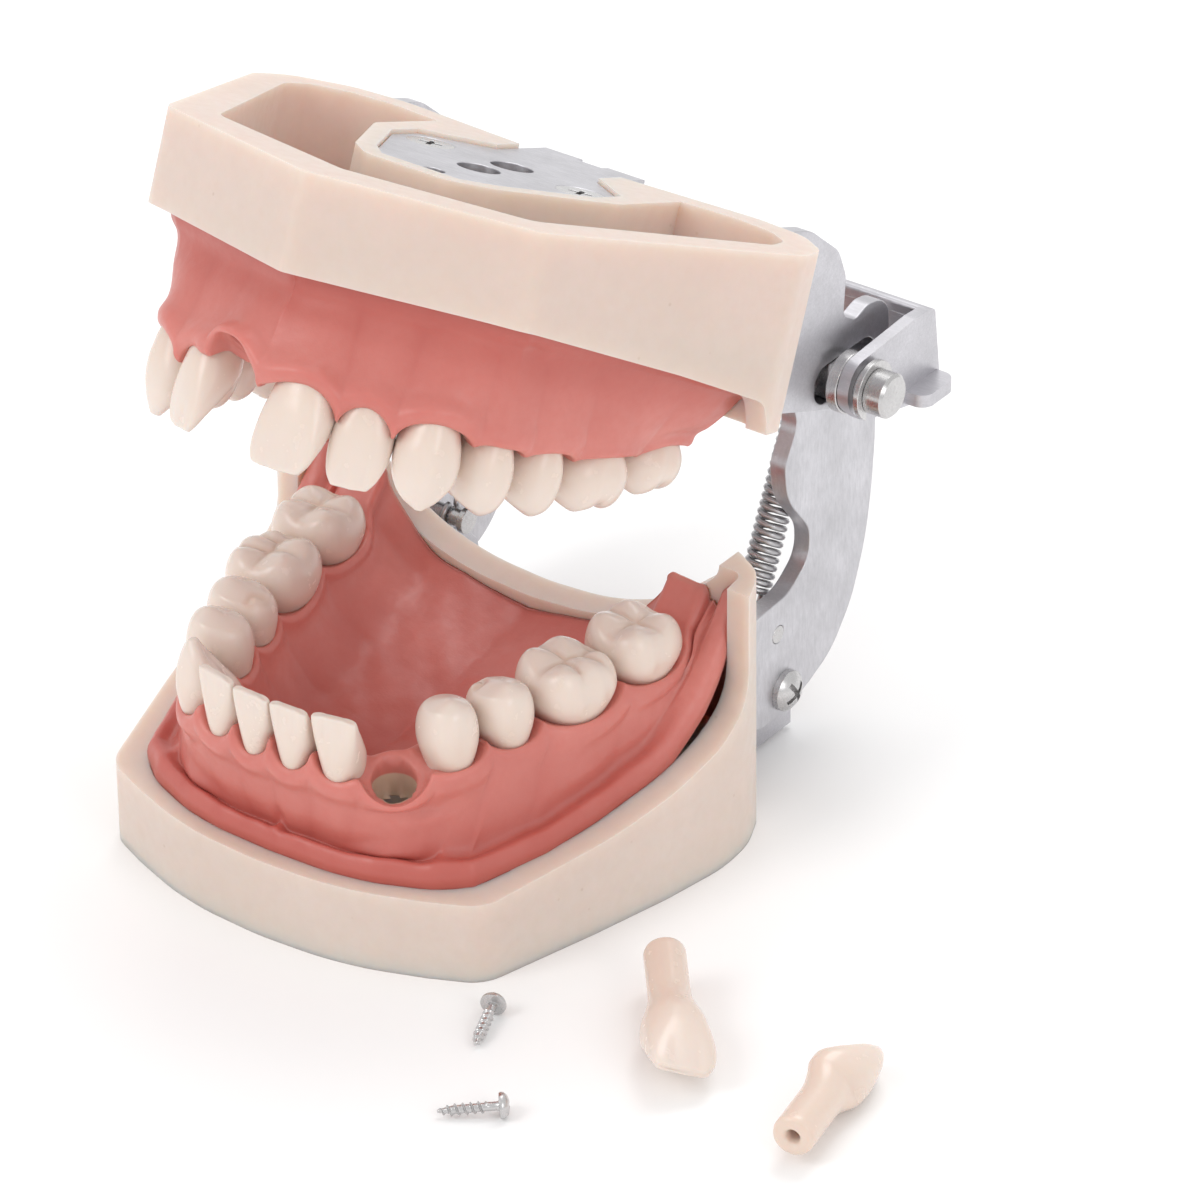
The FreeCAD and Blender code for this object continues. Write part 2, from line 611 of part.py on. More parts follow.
# cranks keyed on the pin; the springs hook into their free ends
CR_Y, CR_Z = 49.2, 43.0
cranks = []
for sx in (-1, 1):
    c = yz_prism([(PIN_Y - 4.2, PIN_Z + 3.4), (PIN_Y + 2.0, PIN_Z + 4.4), (PIN_Y + 5.4, PIN_Z + .6),
                  (CR_Y + 2.6, CR_Z - .6), (CR_Y - .6, CR_Z - 2.7), (PIN_Y - 3.4, PIN_Z - 3.6)],
                 [3, 3, 3, 2.2, 2.2, 3], 20.6, 22.2)
    c = c.cut(xcyl(PIN_Y, PIN_Z, PIN_R, 19, 24))
    c = c.cut(xcyl(CR_Y, CR_Z, 1.0, 19, 24))
    cranks.append(one(mir(c) if sx < 0 else c))
put("spring_cranks", cranks)

# ------------------------------------------------------------- springs
SP_A = V(21.4, 36.6, 16.4)
SP_B = V(21.4, CR_Y, CR_Z)
d = SP_B - SP_A
L = d.Length
u = d * (1 / L)
for side, sx in (("left", 1), ("right", -1)):
    a = SP_A + u * 3.4
    t = Part.makeCylinder(2.0, L - 7.6, a, u).cut(Part.makeCylinder(1.3, L, SP_A - u, u))
    put(side + "_spring", one(mir(t) if sx < 0 else t))

# ------------------------------------------------------------- upper base
UB = [(0, 0), (25.9, 9.5), (38.3, 42.6), (37.0, 48.2), (31.5, 53.2), (24.5, 54.4), (14.0, 53.0), (7.4, 52.2), (0, 52.2)]
UB_R = [2.0, 3.0, 4.0, 6, 6, 10, 10, 2.0, 0]
ub = prism(mirror_pts(UB), sym_r(UB_R, UB), -20.6, 0)
edge = [(-10, -11.7), (3, -11.2), (9.5, -10.9), (30, -14.4), (41.6, -16.8), (43.6, -20.6), (43.6, -40), (-10, -40)]
ub = ub.cut(yz_prism(edge, [0, 20, 20, 40, 2, 1.5, 0, 0], -60, 60))
# seat of the gum behind the lip
UG = [(0, 2.2), (24.2, 11.2), (35.4, 42.2), (35.0, 45.6), (0, 45.6)]
UG_R = [3, 4, 3, 2, 0]
useat = prism(mirror_pts(UG), sym_r(UG_R, UG), -40, -12.0)
ub = ub.cut(useat.cut(Part.makeBox(200, 12.0, 200, V(-100, -20, -211.9 + 100))))
# alveolar core
ucore = horseshoe(UPPER, (22.6, 47.0), 3.4, 6.6)
ucore = prism(ucore, 1.2, -18.2, -11.0)
ucore = ucore.common(prism(mirror_pts(inset(UG, 1.9)), sym_r(UG_R, UG), -30, 0))
ub = ub.fuse(ucore)
# top hollow around the central island
UH = [(0, 7.4), (21.6, 13.6), (33.9, 42.8), (33.0, 46.6), (29.5, 49.6), (24.0, 50.6), (14.5, 49.3), (0, 49.3)]
UH_R = [3, 3, 3, 3, 4, 6, 2, 0]
UI = [(0, 19.6), (5.6, 19.6), (9.6, 23.2), (17.0, 37.2), (17.0, 50.4), (0, 50.4)]
UI_R = [0, 3, 3, 3, 1, 0]
uh = prism(mirror_pts(UH), sym_r(UH_R, UH), -9.0, 2)
uh = uh.cut(prism(mirror_pts(UI), sym_r(UI_R, UI), -10, 3))
ub = ub.cut(uh)
# plate recess and its way out through the rear wall
UP_TOP = -.5
PL = [(0, 22.4), (5.2, 22.4), (8.2, 25.6), (14.0, 36.6), (14.0, 41.8), (7.0, 47.6), (7.0, 57.6), (0, 57.6)]
PR = [(0, 22.3), (5.25, 22.3), (8.3, 25.55), (14.1, 36.55), (14.1, 41.85), (7.1, 47.65), (7.1, 60), (0, 60)]
ub = ub.cut(prism(mirror_pts(PR), 0, UP_TOP - PLATE_T, 3))
for nm, kind, md, bl, h, pr, pl in UPP:
    ub = ub.cut(bore_tool(pr, pl, 16))
    ub = ub.cut(head_tool(pl, 7))
for sx in (-1, 1):
    ub = ub.cut(Part.makeCylinder(1.3, 10.0, V(sx * 10.4, 39.2, -10.5)))
for y in UP_TAPS:
    ub = ub.cut(Part.makeCylinder(3.2, 6.0, V(0, y, -8.0)))
ub = one(ub)
put("upper_base", up(ub))

# ------------------------------------------------------------- upper gum
ug_low = inset(UG, .05)
g1 = prism(mirror_pts(ug_low), sym_r(UG_R, UG), -18.4, -11.3)
wide = horseshoe(UPPER, (22.8, 46.6), 7.0, 8.6)
nar = horseshoe(UPPER, (22.8, 46.6), 4.7, 5.2)
g2 = loft2(wide, -14.0, nar, -24.4)
g2 = g2.common(prism(mirror_pts(inset(UG, .05)), sym_r(UG_R, UG), -40, -11.3))
vault = loft2(horseshoe(UPPER, (22.8, 60), 60, -60)[:0] or [V(-16.5, 60, 0), V(-16.0, 30, 0), V(-13.5, 20, 0), V(-8.5, 13, 0), V(8.5, 13, 0),
              V(13.5, 20, 0), V(16.0, 30, 0), V(16.5, 60, 0)], -30.0,
              [V(-8.5, 60, 0), V(-8.0, 32, 0), V(-6.5, 24, 0), V(-4.0, 20, 0), V(4.0, 20, 0), V(6.5, 24, 0), V(8.0, 32, 0),
               V(8.5, 60, 0)], -15.5)
ugum = g1.fuse(g2).cut(vault).cut(ub)
for nm, kind, md, bl, h, pr, pl in UPP:
    ugum = ugum.cut(gum_tool(kind, md, bl, h, pr, pl, "upper_" + nm in LOOSE))
    if "upper_" + nm not in LOOSE:
        ugum = ugum.cut(moved(tooth_for(kind, md, bl, h, pr), pl))
put("upper_gingiva", up(one(ugum)))

# ------------------------------------------------------------- upper teeth
screws = []
for nm, kind, md, bl, h, pr, pl in UPP:
    full = "upper_" + nm
    if full in LOOSE:
        continue
    put(full, up(moved(tooth_for(kind, md, bl, h, pr), pl)))
    screws.append(up(moved(screw0, pl)))
put("upper_tooth_screws", screws)

# ------------------------------------------------------------- upper plate
pt = prism(mirror_pts(PL), 0, UP_TOP - PLATE_T, UP_TOP)
# pin position in the upper jaw's frame
PY = CT * (PIN_Y - UP_Y) - ST * (PIN_Z - UP_Z)
PZ = ST * (PIN_Y - UP_Y) + CT * (PIN_Z - UP_Z)
WING = [(55.6, UP_TOP), (60.0, UP_TOP), (67.0, -3.0), (69.8, -6.0), (71.2, -10.8), (74.0, -11.3), (76.0, -9.6),
        (78.6, -9.0), (80.8, -10.0), (82.0, -12.6), (82.2, -16.5), (81.0, -20.2), (78.4, -22.0), (55.6, -22.0)]
WING_R = [0, 6, 4, 3, 1.3, 1.3, 2.5, 4, 3, 4, 4, 4, 3, 1.5]
for sx in (-1, 1):
    w = yz_prism(WING, WING_R, WING_X0, WING_X1)
    # slot, level in the open rest pose, so inclined in the jaw's own frame
    sl = fuse(Part.makeBox(8, SLOT_A + SLOT_B, SLOT_W, V(24, -SLOT_A, -SLOT_W / 2)),
              Part.makeCylinder(SLOT_W / 2, 8, V(24, -SLOT_A, 0), V(1, 0, 0)),
              Part.makeCylinder(SLOT_W / 2, 8, V(24, SLOT_B, 0), V(1, 0, 0)))
    sl.rotate(V(0, 0, 0), V(1, 0, 0), OPEN_DEG)
    sl.translate(V(0, PY, PZ))
    w = w.cut(sl)
    if sx < 0:
        w = mir(w)
    pt = pt.fuse(w)
# cross flange behind the base that carries the two wings
pt = pt.fuse(Part.makeBox(2 * WING_X1 - 1.2, 2.0, 12.4, V(-WING_X1 + .6, 55.6, -14.5)))
pt = pt.cut(Part.makeBox(3.4, 1.4, 6, V(-1.7, 56.4, -4)))
for y in UP_TAPS:
    pt = pt.cut(Part.makeCylinder(TAP_R, 6, V(0, y, -4)))
pt = pt.cut(Part.makeCylinder(1.3, 6, V(0, 25.2, -4)))
for sx in (-1, 1):
    pt = pt.cut(Part.makeCylinder(1.55, 6, V(sx * 10.4, 39.2, -4)))
    pt = pt.cut(Part.makeCone(1.5, 2.95, 1.45, V(sx * 10.4, 39.2, UP_TOP - 1.4)))
pt = one(pt.removeSplitter())
try:
    es = [e for e in pt.Edges if e.BoundBox.YLength > 8 and e.BoundBox.XLength < 1e-3 and abs(abs(e.BoundBox.XMin) - WING_X1) < .01
          and e.BoundBox.ZMin > UP_TOP - .01]
    if es:
        pt = one(pt.makeFillet(1.6, es))
except Exception:
    pass
put("upper_plate", up(pt))
us = []
for sx in (-1, 1):
    s = csk.copy()
    s.translate(V(sx * 10.4, 39.2, UP_TOP - .05))
    us.append(up(s))
put("upper_plate_screws", us)

# ------------------------------------------------------------- latch
EAR = [(PIN_Y - 2.4, PIN_Z + 3.6), (54.6, 51.9), (58.7, 51.6), (59.8, 42.2), (55.4, 40.6), (49.6, 42.0),
       (PIN_Y - .4, PIN_Z - 4.3), (PIN_Y - 4.2, PIN_Z - .6)]
ear = yz_prism(EAR, [3, 1.2, 1.6, 2.2, 2, 6, 3.2, 3.2], EAR_X0, EAR_X1)
ear = ear.cut(xcyl(PIN_Y, PIN_Z, PIN_R + RUN, 28, 36))
tab = prism(pts2([(EAR_X1 - .6, 52.8), (35.2, 52.8), (35.2, 59.2), (EAR_X1 - .6, 59.2)]), [0, 2.0, 2.0, 0], 41.6, 43.2)
latch = ear.fuse(mir(ear))
bar = yz_prism([(57.2, 50.1), (57.9, 49.9), (58.2, 42.2), (59.8, 42.2), (58.7, 51.6), (57.2, 51.7)],
               [.3, .3, .6, .6, 1.2, .5], -EAR_X1, EAR_X1)
latch = latch.fuse(bar).fuse(tab)
put("latch_bracket", one(latch.removeSplitter()))

# ------------------------------------------------------------- loose pieces
# the two teeth that are out of their sockets, and their screws, lying in front
SPEC = {("lower_" + t[0]): t for t in LOW}
SPEC.update({("upper_" + t[0]): t for t in UPP})


def lay(shape, head, tail, roll, lift=0.0):
    """Lay a part that points along +Z in its own frame: from tail to head on the floor."""
    s = shape.copy()
    d = V(head[0] - tail[0], head[1] - tail[1], head[2] - tail[2])
    s.rotate(V(0, 0, 0), V(0, 0, 1), roll)
    r = FreeCAD.Rotation(V(0, 0, 1), d)
    s.Placement = FreeCAD.Placement(V(0, 0, 0), r).multiply(s.Placement)
    bb = s.BoundBox
    s.translate(V(tail[0], tail[1], 0))
    bb = s.optimalBoundingBox() if hasattr(s, "optimalBoundingBox") else s.BoundBox
    s.translate(V(0, 0, -bb.ZMin + lift))
    return s


t = SPEC["upper_right_central_incisor"]
tt = tooth_for(t[1], t[2], t[3], t[4], t[5])
put("upper_right_central_incisor", lay(tt, (56.4, -26.0, 1.1), (50.2, -18.6, 2.4), 200))
t = SPEC["lower_left_canine"]
tt = tooth_for(t[1], t[2], t[3], t[4], t[5])
put("lower_left_canine", lay(tt, (70.0, -10.0, 2.2), (72.0, -19.6, 2.4), 150))
sc = screw0.copy()
sc.translate(V(0, 0, PEG_L + WEB))
put("loose_screw_front", lay(sc, (35.2, -46.4, .62), (43.0, -40.6, 1.5), 0))
put("loose_screw_rear", lay(sc, (33.6, -33.0, .62), (30.9, -25.6, 1.5), 0))

# ------------------------------------------------------------- write
print(len(NODES), "nodes")
for name, shp in NODES.items():
    if isinstance(shp, list):
        out = Part.makeCompound(shp)
        n = len(shp)
    else:
        out = shp
        n = 1
    ok = out.isValid()
    bb = out.BoundBox
    print("%-34s n=%2d valid=%s vol=%9.1f  x %6.1f..%6.1f y %6.1f..%6.1f z %6.1f..%6.1f" % (
        name, n, ok, out.Volume, bb.XMin, bb.XMax, bb.YMin, bb.YMax, bb.ZMin, bb.ZMax))
    out.exportStep("parts/" + name + ".step")
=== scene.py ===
import bpy, bmesh, math, json
import numpy as np
from mathutils import Vector, Matrix


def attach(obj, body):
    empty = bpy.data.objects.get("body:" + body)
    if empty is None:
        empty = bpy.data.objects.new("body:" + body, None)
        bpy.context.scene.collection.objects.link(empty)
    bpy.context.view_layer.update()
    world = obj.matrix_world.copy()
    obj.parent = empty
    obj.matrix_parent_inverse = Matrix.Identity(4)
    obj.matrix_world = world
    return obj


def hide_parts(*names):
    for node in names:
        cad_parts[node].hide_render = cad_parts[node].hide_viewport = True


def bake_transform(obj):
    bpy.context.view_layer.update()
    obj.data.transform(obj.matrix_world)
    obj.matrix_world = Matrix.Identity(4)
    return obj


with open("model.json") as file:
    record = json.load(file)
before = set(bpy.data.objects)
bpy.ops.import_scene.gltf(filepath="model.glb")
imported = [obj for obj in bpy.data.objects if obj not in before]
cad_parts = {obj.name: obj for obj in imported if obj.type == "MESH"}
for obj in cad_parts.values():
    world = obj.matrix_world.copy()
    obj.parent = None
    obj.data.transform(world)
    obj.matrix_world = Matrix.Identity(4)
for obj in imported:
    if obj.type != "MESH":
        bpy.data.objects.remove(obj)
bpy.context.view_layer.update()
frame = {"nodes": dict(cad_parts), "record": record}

MM = 0.001
rng = np.random.default_rng(7)

# ------------------------------------------------------------------ frames
OPEN = math.radians(22.363)
CO, SO = math.cos(OPEN), math.sin(OPEN)


def up_w(P):
    """Upper jaw's own frame to the row frame, mm."""
    P = np.asarray(P, float)
    out = P.copy()
    out[..., 1] = -15.63 + CO * P[..., 1] + SO * P[..., 2]
    out[..., 2] = 91.96 - SO * P[..., 1] + CO * P[..., 2]
    return out


# ------------------------------------------------------------------ splines
def spline(t, Y, q):
    """Natural cubic spline through (t, Y), read at q."""
    t = np.asarray(t, float)
    Y = np.asarray(Y, float)
    if Y.ndim == 1:
        return spline(t, Y[:, None], q)[:, 0]
    n = len(t)
    h = np.diff(t)
    A = np.zeros((n, n))
    R = np.zeros((n, Y.shape[1]))
    A[0, 0] = A[-1, -1] = 1
    for i in range(1, n - 1):
        A[i, i - 1], A[i, i], A[i, i + 1] = h[i - 1], 2 * (h[i - 1] + h[i]), h[i]
        R[i] = 6 * ((Y[i + 1] - Y[i]) / h[i] - (Y[i] - Y[i - 1]) / h[i - 1])
    M = np.linalg.solve(A, R)
    q = np.clip(np.asarray(q, float), t[0], t[-1])
    k = np.clip(np.searchsorted(t, q, side="right") - 1, 0, n - 2)
    hk = h[k][:, None]
    a = (t[k + 1] - q)[:, None]
    b = (q - t[k])[:, None]
    return (M[k] * a ** 3 + M[k + 1] * b ** 3) / (6 * hk) + (Y[k] / hk - M[k] * hk / 6) * a + (Y[k + 1] / hk - M[k + 1] * hk / 6) * b


def mono(t, y, q):
    """Monotone cubic through (t, y), read at q: no overshoot."""
    t = np.asarray(t, float); y = np.asarray(y, float); q = np.asarray(q, float)
    h = np.diff(t); d = np.diff(y) / h
    m = np.zeros(len(t))
    m[0], m[-1] = d[0], d[-1]
    for i in range(1, len(t) - 1):
        if d[i - 1] * d[i] <= 0:
            m[i] = 0
        else:
            w1, w2 = 2 * h[i] + h[i - 1], h[i] + 2 * h[i - 1]
            m[i] = (w1 + w2) / (w1 / d[i - 1] + w2 / d[i])
    qq = np.clip(q, t[0], t[-1])
    k = np.clip(np.searchsorted(t, qq, side="right") - 1, 0, len(t) - 2)
    s = (qq - t[k]) / h[k]
    return ((2 * s ** 3 - 3 * s ** 2 + 1) * y[k] + (s ** 3 - 2 * s ** 2 + s) * h[k] * m[k]
            + (-2 * s ** 3 + 3 * s ** 2) * y[k + 1] + (s ** 3 - s ** 2) * h[k] * m[k + 1])


def smooth01(x):
    x = np.clip(x, 0, 1)
    return x * x * (3 - 2 * x)


# ------------------------------------------------------------------ meshes
def mesh_obj(name, V, F, mat, body, replaces=(), smooth=True, attrs=None, merge=0.0, auto=None):
    """V in mm, row frame."""
    me = bpy.data.meshes.new(name)
    me.from_pydata([tuple(p) for p in (np.asarray(V) * MM)], [], [tuple(int(i) for i in f) for f in F])
    if attrs:
        for k, a in attrs.items():
            at = me.attributes.new(k, "FLOAT", "POINT")
            at.data.foreach_set("value", np.asarray(a, np.float32))
    me.update()
    ob = bpy.data.objects.new(name, me)
    bpy.context.scene.collection.objects.link(ob)
    bm = bmesh.new(); bm.from_mesh(me)
    if merge:
        bmesh.ops.remove_doubles(bm, verts=bm.verts, dist=merge)
    bmesh.ops.recalc_face_normals(bm, faces=bm.faces)
    bm.to_mesh(me); bm.free()
    me.polygons.foreach_set("use_smooth", [smooth] * len(me.polygons))
    if auto is not None:
        sharp(me, auto)
    me.materials.append(mat)
    if body:
        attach(ob, body)
    if replaces:
        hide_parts(*replaces)
    return ob


def sharp(me, deg):
    """Marks edges sharper than deg, so smooth shading stops there."""
    bm = bmesh.new(); bm.from_mesh(me)
    lim = math.radians(deg)
    for e in bm.edges:
        if len(e.link_faces) == 2 and e.calc_face_angle(0) > lim:
            e.smooth = False
        else:
            e.smooth = True
    bm.to_mesh(me); bm.free()


def grid_faces(nu, nv, wrap_v=False, off=0):
    F = []
    for i in range(nu - 1):
        for j in range(nv if wrap_v else nv - 1):
            a = off + i * nv + j
            b = off + i * nv + (j + 1) % nv
            F.append((a, b, b + nv, a + nv))
    return F


# ------------------------------------------------------------------ node materials
def nodes_of(name):
    m = bpy.data.materials.new(name)
    m.use_nodes = True
    nt = m.node_tree
    nt.nodes.clear()
    out = nt.nodes.new("ShaderNodeOutputMaterial")
    p = nt.nodes.new("ShaderNodeBsdfPrincipled")
    nt.links.new(p.outputs[0], out.inputs[0])
    return m, nt, p


def nn(nt, kind, **kw):
    n = nt.nodes.new("ShaderNode" + kind)
    for k, v in kw.items():
        if k.startswith("i_"):
            key = k[2:].replace("_", " ")
            n.inputs[key].default_value = v
        else:
            setattr(n, k, v)
    return n


def coords(nt, scale=1.0, stretch=(1, 1, 1), rot=(0, 0, 0)):
    tc = nn(nt, "TexCoord")
    mp = nn(nt, "Mapping")
    mp.inputs["Scale"].default_value = [1000 * scale * s for s in stretch]
    mp.inputs["Rotation"].default_value = rot
    nt.links.new(tc.outputs["Object"], mp.inputs[0])
    return mp.outputs[0]


def noise(nt, vec, scale, detail=4, rough=.5, dist=0.0):
    n = nn(nt, "TexNoise")
    n.inputs["Scale"].default_value = scale
    n.inputs["Detail"].default_value = detail
    n.inputs["Roughness"].default_value = rough
    n.inputs["Distortion"].default_value = dist
    nt.links.new(vec, n.inputs["Vector"])
    return n.outputs[0]


def ramp(nt, fac, stops, interp="LINEAR"):
    r = nn(nt, "ValToRGB")
    r.color_ramp.interpolation = interp
    e = r.color_ramp.elements
    while len(e) < len(stops):
        e.new(0.5)
    for i, (pos, col) in enumerate(stops):
        e[i].position = pos
        e[i].color = (*col, 1) if len(col) == 3 else col
    if fac is not None:
        nt.links.new(fac, r.inputs[0])
    return r.outputs[0]


def mixc(nt, fac, a, b, mode="MIX"):
    m = nn(nt, "Mix")
    m.data_type = "RGBA"
    m.blend_type = mode
    for sock, v in ((m.inputs[0], fac), (m.inputs[6], a), (m.inputs[7], b)):
        if isinstance(v, (int, float)):
            sock.default_value = v
        elif isinstance(v, tuple):
            sock.default_value = (*v, 1) if len(v) == 3 else v
        else:
            nt.links.new(v, sock)
    return m.outputs[2]


def rng_map(nt, v, a, b, c, d):
    m = nn(nt, "MapRange")
    m.inputs[1].default_value, m.inputs[2].default_value = a, b
    m.inputs[3].default_value, m.inputs[4].default_value = c, d
    nt.links.new(v, m.inputs[0])
    return m.outputs[0]


def math_n(nt, op, a, b=0.0):
    m = nn(nt, "Math")
    m.operation = op
    for s, v in ((m.inputs[0], a), (m.inputs[1], b)):
        if isinstance(v, (int, float)):
            s.default_value = v
        else:
            nt.links.new(v, s)
    return m.outputs[0]


def bump(nt, p, height, strength, dist_mm, chain=None):
    b = nn(nt, "Bump")
    b.inputs["Strength"].default_value = strength
    b.inputs["Distance"].default_value = dist_mm * MM
    nt.links.new(height, b.inputs["Height"])
    if chain is not None:
        nt.links.new(chain, b.inputs["Normal"])
    nt.links.new(b.outputs[0], p.inputs["Normal"])
    return b.outputs[0]


def attr(nt, name):
    a = nn(nt, "Attribute")
    a.attribute_name = name
    return a.outputs["Fac"]


def mat_resin():
    m, nt, p = nodes_of("cast_resin")
    v = coords(nt)
    big = noise(nt, v, .05, 3, .5)
    mid = noise(nt, v, .6, 4, .6)
    fine = noise(nt, v, 6.0, 3, .6)
    c = ramp(nt, big, [(.3, (.685, .565, .495)), (.7, (.72, .600, .535))])
    c = mixc(nt, rng_map(nt, mid, .35, .7, 0, .35), c, (.665, .535, .46))
    # tiny darker specks of the pour
    vo = nn(nt, "TexVoronoi")
    vo.inputs["Scale"].default_value = .22
    nt.links.new(v, vo.inputs["Vector"])
    sp = rng_map(nt, vo.outputs["Distance"], .02, .06, .5, 0)
    c = mixc(nt, sp, c, (.55, .40, .32))
    nt.links.new(c, p.inputs["Base Color"])
    p.inputs["Roughness"].default_value = .42
    nt.links.new(rng_map(nt, mid, .3, .7, .36, .50), p.inputs["Roughness"])
    p.inputs["Subsurface Weight"].default_value = .6
    p.inputs["Subsurface Radius"].default_value = (1.0, .55, .38)
    p.inputs["Subsurface Scale"].default_value = .007
    p.inputs["Specular IOR Level"].default_value = .42
    h = math_n(nt, "ADD", math_n(nt, "MULTIPLY", fine, .35), mid)
    bump(nt, p, h, .12, .12)
    return m


def mat_gum():
    m, nt, p = nodes_of("gum_silicone")
    v = coords(nt)
    big = noise(nt, v, .11, 3, .5)
    mid = noise(nt, v, .9, 4, .55)
    fine = noise(nt, v, 4.2, 3, .5)
    c = ramp(nt, big, [(.30, (.60, .180, .150)), (.72, (.665, .225, .190))])
    c = mixc(nt, rng_map(nt, mid, .4, .75, 0, .24), c, (.58, .140, .112))
    fold_shade = attr(nt, "fold_shade")          # painted shade: 0 high on the ridge, 1 in the folds and floor
    # painted shade: the gum colour is darkened towards the folds and the floor
    c = mixc(nt, rng_map(nt, fold_shade, .1, 1.0, 0, .72), c, (.46, .085, .064))
    edge = attr(nt, "marg")          # 1 along the free edge at the teeth
    c = mixc(nt, rng_map(nt, edge, .2, 1.0, 0, .30), c, (.74, .26, .215))
    c = mixc(nt, rng_map(nt, attr(nt, "soc"), -.12, .12, 0, 1), c, (.66, .48, .36))      # resin wall of the open socket
    nt.links.new(c, p.inputs["Base Color"])
    nt.links.new(rng_map(nt, mid, .3, .7, .34, .46), p.inputs["Roughness"])
    p.inputs["Subsurface Weight"].default_value = .28
    p.inputs["Subsurface Radius"].default_value = (1.0, .28, .20)
    p.inputs["Subsurface Scale"].default_value = .0022
    p.inputs["Specular IOR Level"].default_value = .5
    p.inputs["Coat Weight"].default_value = .10
    p.inputs["Coat Roughness"].default_value = .30
    h = math_n(nt, "ADD", math_n(nt, "MULTIPLY", fine, .30), mid)
    bump(nt, p, h, .22, .16)
    return m


def mat_tooth():
    m, nt, p = nodes_of("tooth_resin")
    v = coords(nt)
    tz = attr(nt, "tz")              # 0 at the neck, 1 at the biting edge
    c = ramp(nt, tz, [(0.0, (.745, .60, .51)), (.30, (.775, .645, .56)), (.75, (.785, .672, .597)), (1.0, (.77, .672, .605))])
    mid = noise(nt, v, .5, 3, .5)
    c = mixc(nt, rng_map(nt, mid, .35, .7, 0, .10), c, (.75, .60, .505))
    st = noise(nt, coords(nt, 1.0, (1, 1, .12)), 1.6, 3, .5)
    c = mixc(nt, rng_map(nt, st, .45, .75, 0, .07), c, (.83, .74, .67))
    pit = attr(nt, "pit")            # fissures
    c = mixc(nt, rng_map(nt, pit, .2, 1.0, 0, .38), c, (.60, .40, .26))
    nt.links.new(c, p.inputs["Base Color"])
    p.inputs["Roughness"].default_value = .24
    nt.links.new(rng_map(nt, mid, .3, .7, .23, .28), p.inputs["Roughness"])
    p.inputs["Subsurface Weight"].default_value = .30
    p.inputs["Subsurface Radius"].default_value = (1.0, .62, .42)
    p.inputs["Subsurface Scale"].default_value = .0018
    p.inputs["Specular IOR Level"].default_value = .5
    p.inputs["Coat Weight"].default_value = .16
    p.inputs["Coat Roughness"].default_value = .20
    fine = noise(nt, v, 2.6, 3, .5)
    bump(nt, p, fine, .012, .02)
    return m


def mat_metal(name, col=(.63, .62, .645), r0=.26, r1=.42, streak=(1, 1, 1), scratch=.5, rot=(0, 0, 0)):
    m, nt, p = nodes_of(name)
    p.inputs["Metallic"].default_value = 1.0
    v = coords(nt)
    s = coords(nt, 1.0, streak, rot)
    brush = noise(nt, s, 2.2, 5, .65)
    cloud = noise(nt, v, .18, 4, .6)
    c = ramp(nt, cloud, [(.25, tuple(.86 * a for a in col)), (.75, tuple(min(1, 1.12 * a) for a in col))])
    c = mixc(nt, rng_map(nt, brush, .35, .7, 0, .35), c, tuple(.72 * a for a in col))
    # fine handling scratches
    w1 = noise(nt, coords(nt, 1.0, (.10, .55, 2.6), (.7, .4, .2)), 3.0, 2, .4)
    line = rng_map(nt, w1, .495, .505, 0, 1)
    l2 = math_n(nt, "MULTIPLY", line, math_n(nt, "SUBTRACT", 1.0, line))
    l2 = math_n(nt, "MULTIPLY", l2, 4.0 * scratch)
    c = mixc(nt, l2, c, tuple(min(1, 1.45 * a) for a in col))
    nt.links.new(c, p.inputs["Base Color"])
    r = rng_map(nt, brush, .3, .75, r0, r1)
    r = math_n(nt, "ADD", r, math_n(nt, "MULTIPLY", cloud, .08))
    nt.links.new(r, p.inputs["Roughness"])
    h = math_n(nt, "ADD", brush, math_n(nt, "MULTIPLY", l2, -.6))
    bump(nt, p, h, .12, .05)
    return m


MAT_RESIN = mat_resin()
MAT_GUM = mat_gum()
MAT_TOOTH = mat_tooth()
MAT_PLATE = mat_metal("plate_steel", (.62, .61, .64), .30, .46, (.25, 1.4, 1.4))
MAT_ARM = mat_metal("arm_steel", (.63, .622, .65), .30, .48, (1.2, 1.2, .3))
MAT_PIN = mat_metal("pin_steel", (.62, .61, .61), .16, .30, (6, 1, 1), .2)
MAT_SPRING = mat_metal("spring_wire", (.50, .49, .50), .22, .36, (1, 1, 1), .2)
MAT_SCREW = mat_metal("screw_steel", (.60, .59, .59), .18, .32, (1, 1, 1), .3)

# ------------------------------------------------------------------ teeth
LOWER = [
    ("central_incisor", "lincisor", 2.56, -22.1, -88, 5.0, 6.0, 21.3, 8.7, 8, 1.9),
    ("lateral_incisor", "lincisor", 7.80, -21.3, -79, 5.5, 6.2, 21.3, 8.8, 7, 1.9),
    ("canine", "canine", 12.75, -18.95, -50, 6.2, 7.4, 20.8, 9.9, 4, 2.4),
    ("first_premolar", "lpremolar1", 16.0, -13.4, -24, 6.7, 7.7, 22.0, 8.3, 0, 2.4),
    ("second_premolar", "lpremolar2", 18.2, -6.6, -13, 6.9, 8.1, 22.2, 7.7, 0, 2.4),
    ("first_molar", "lmolar1", 20.7, 2.4, -10, 10.8, 10.2, 22.4, 7.3, 0, 2.4),
    ("second_molar", "lmolar2", 22.4, 13.0, -5, 10.1, 10.0, 22.8, 7.0, 0, 2.4),
]
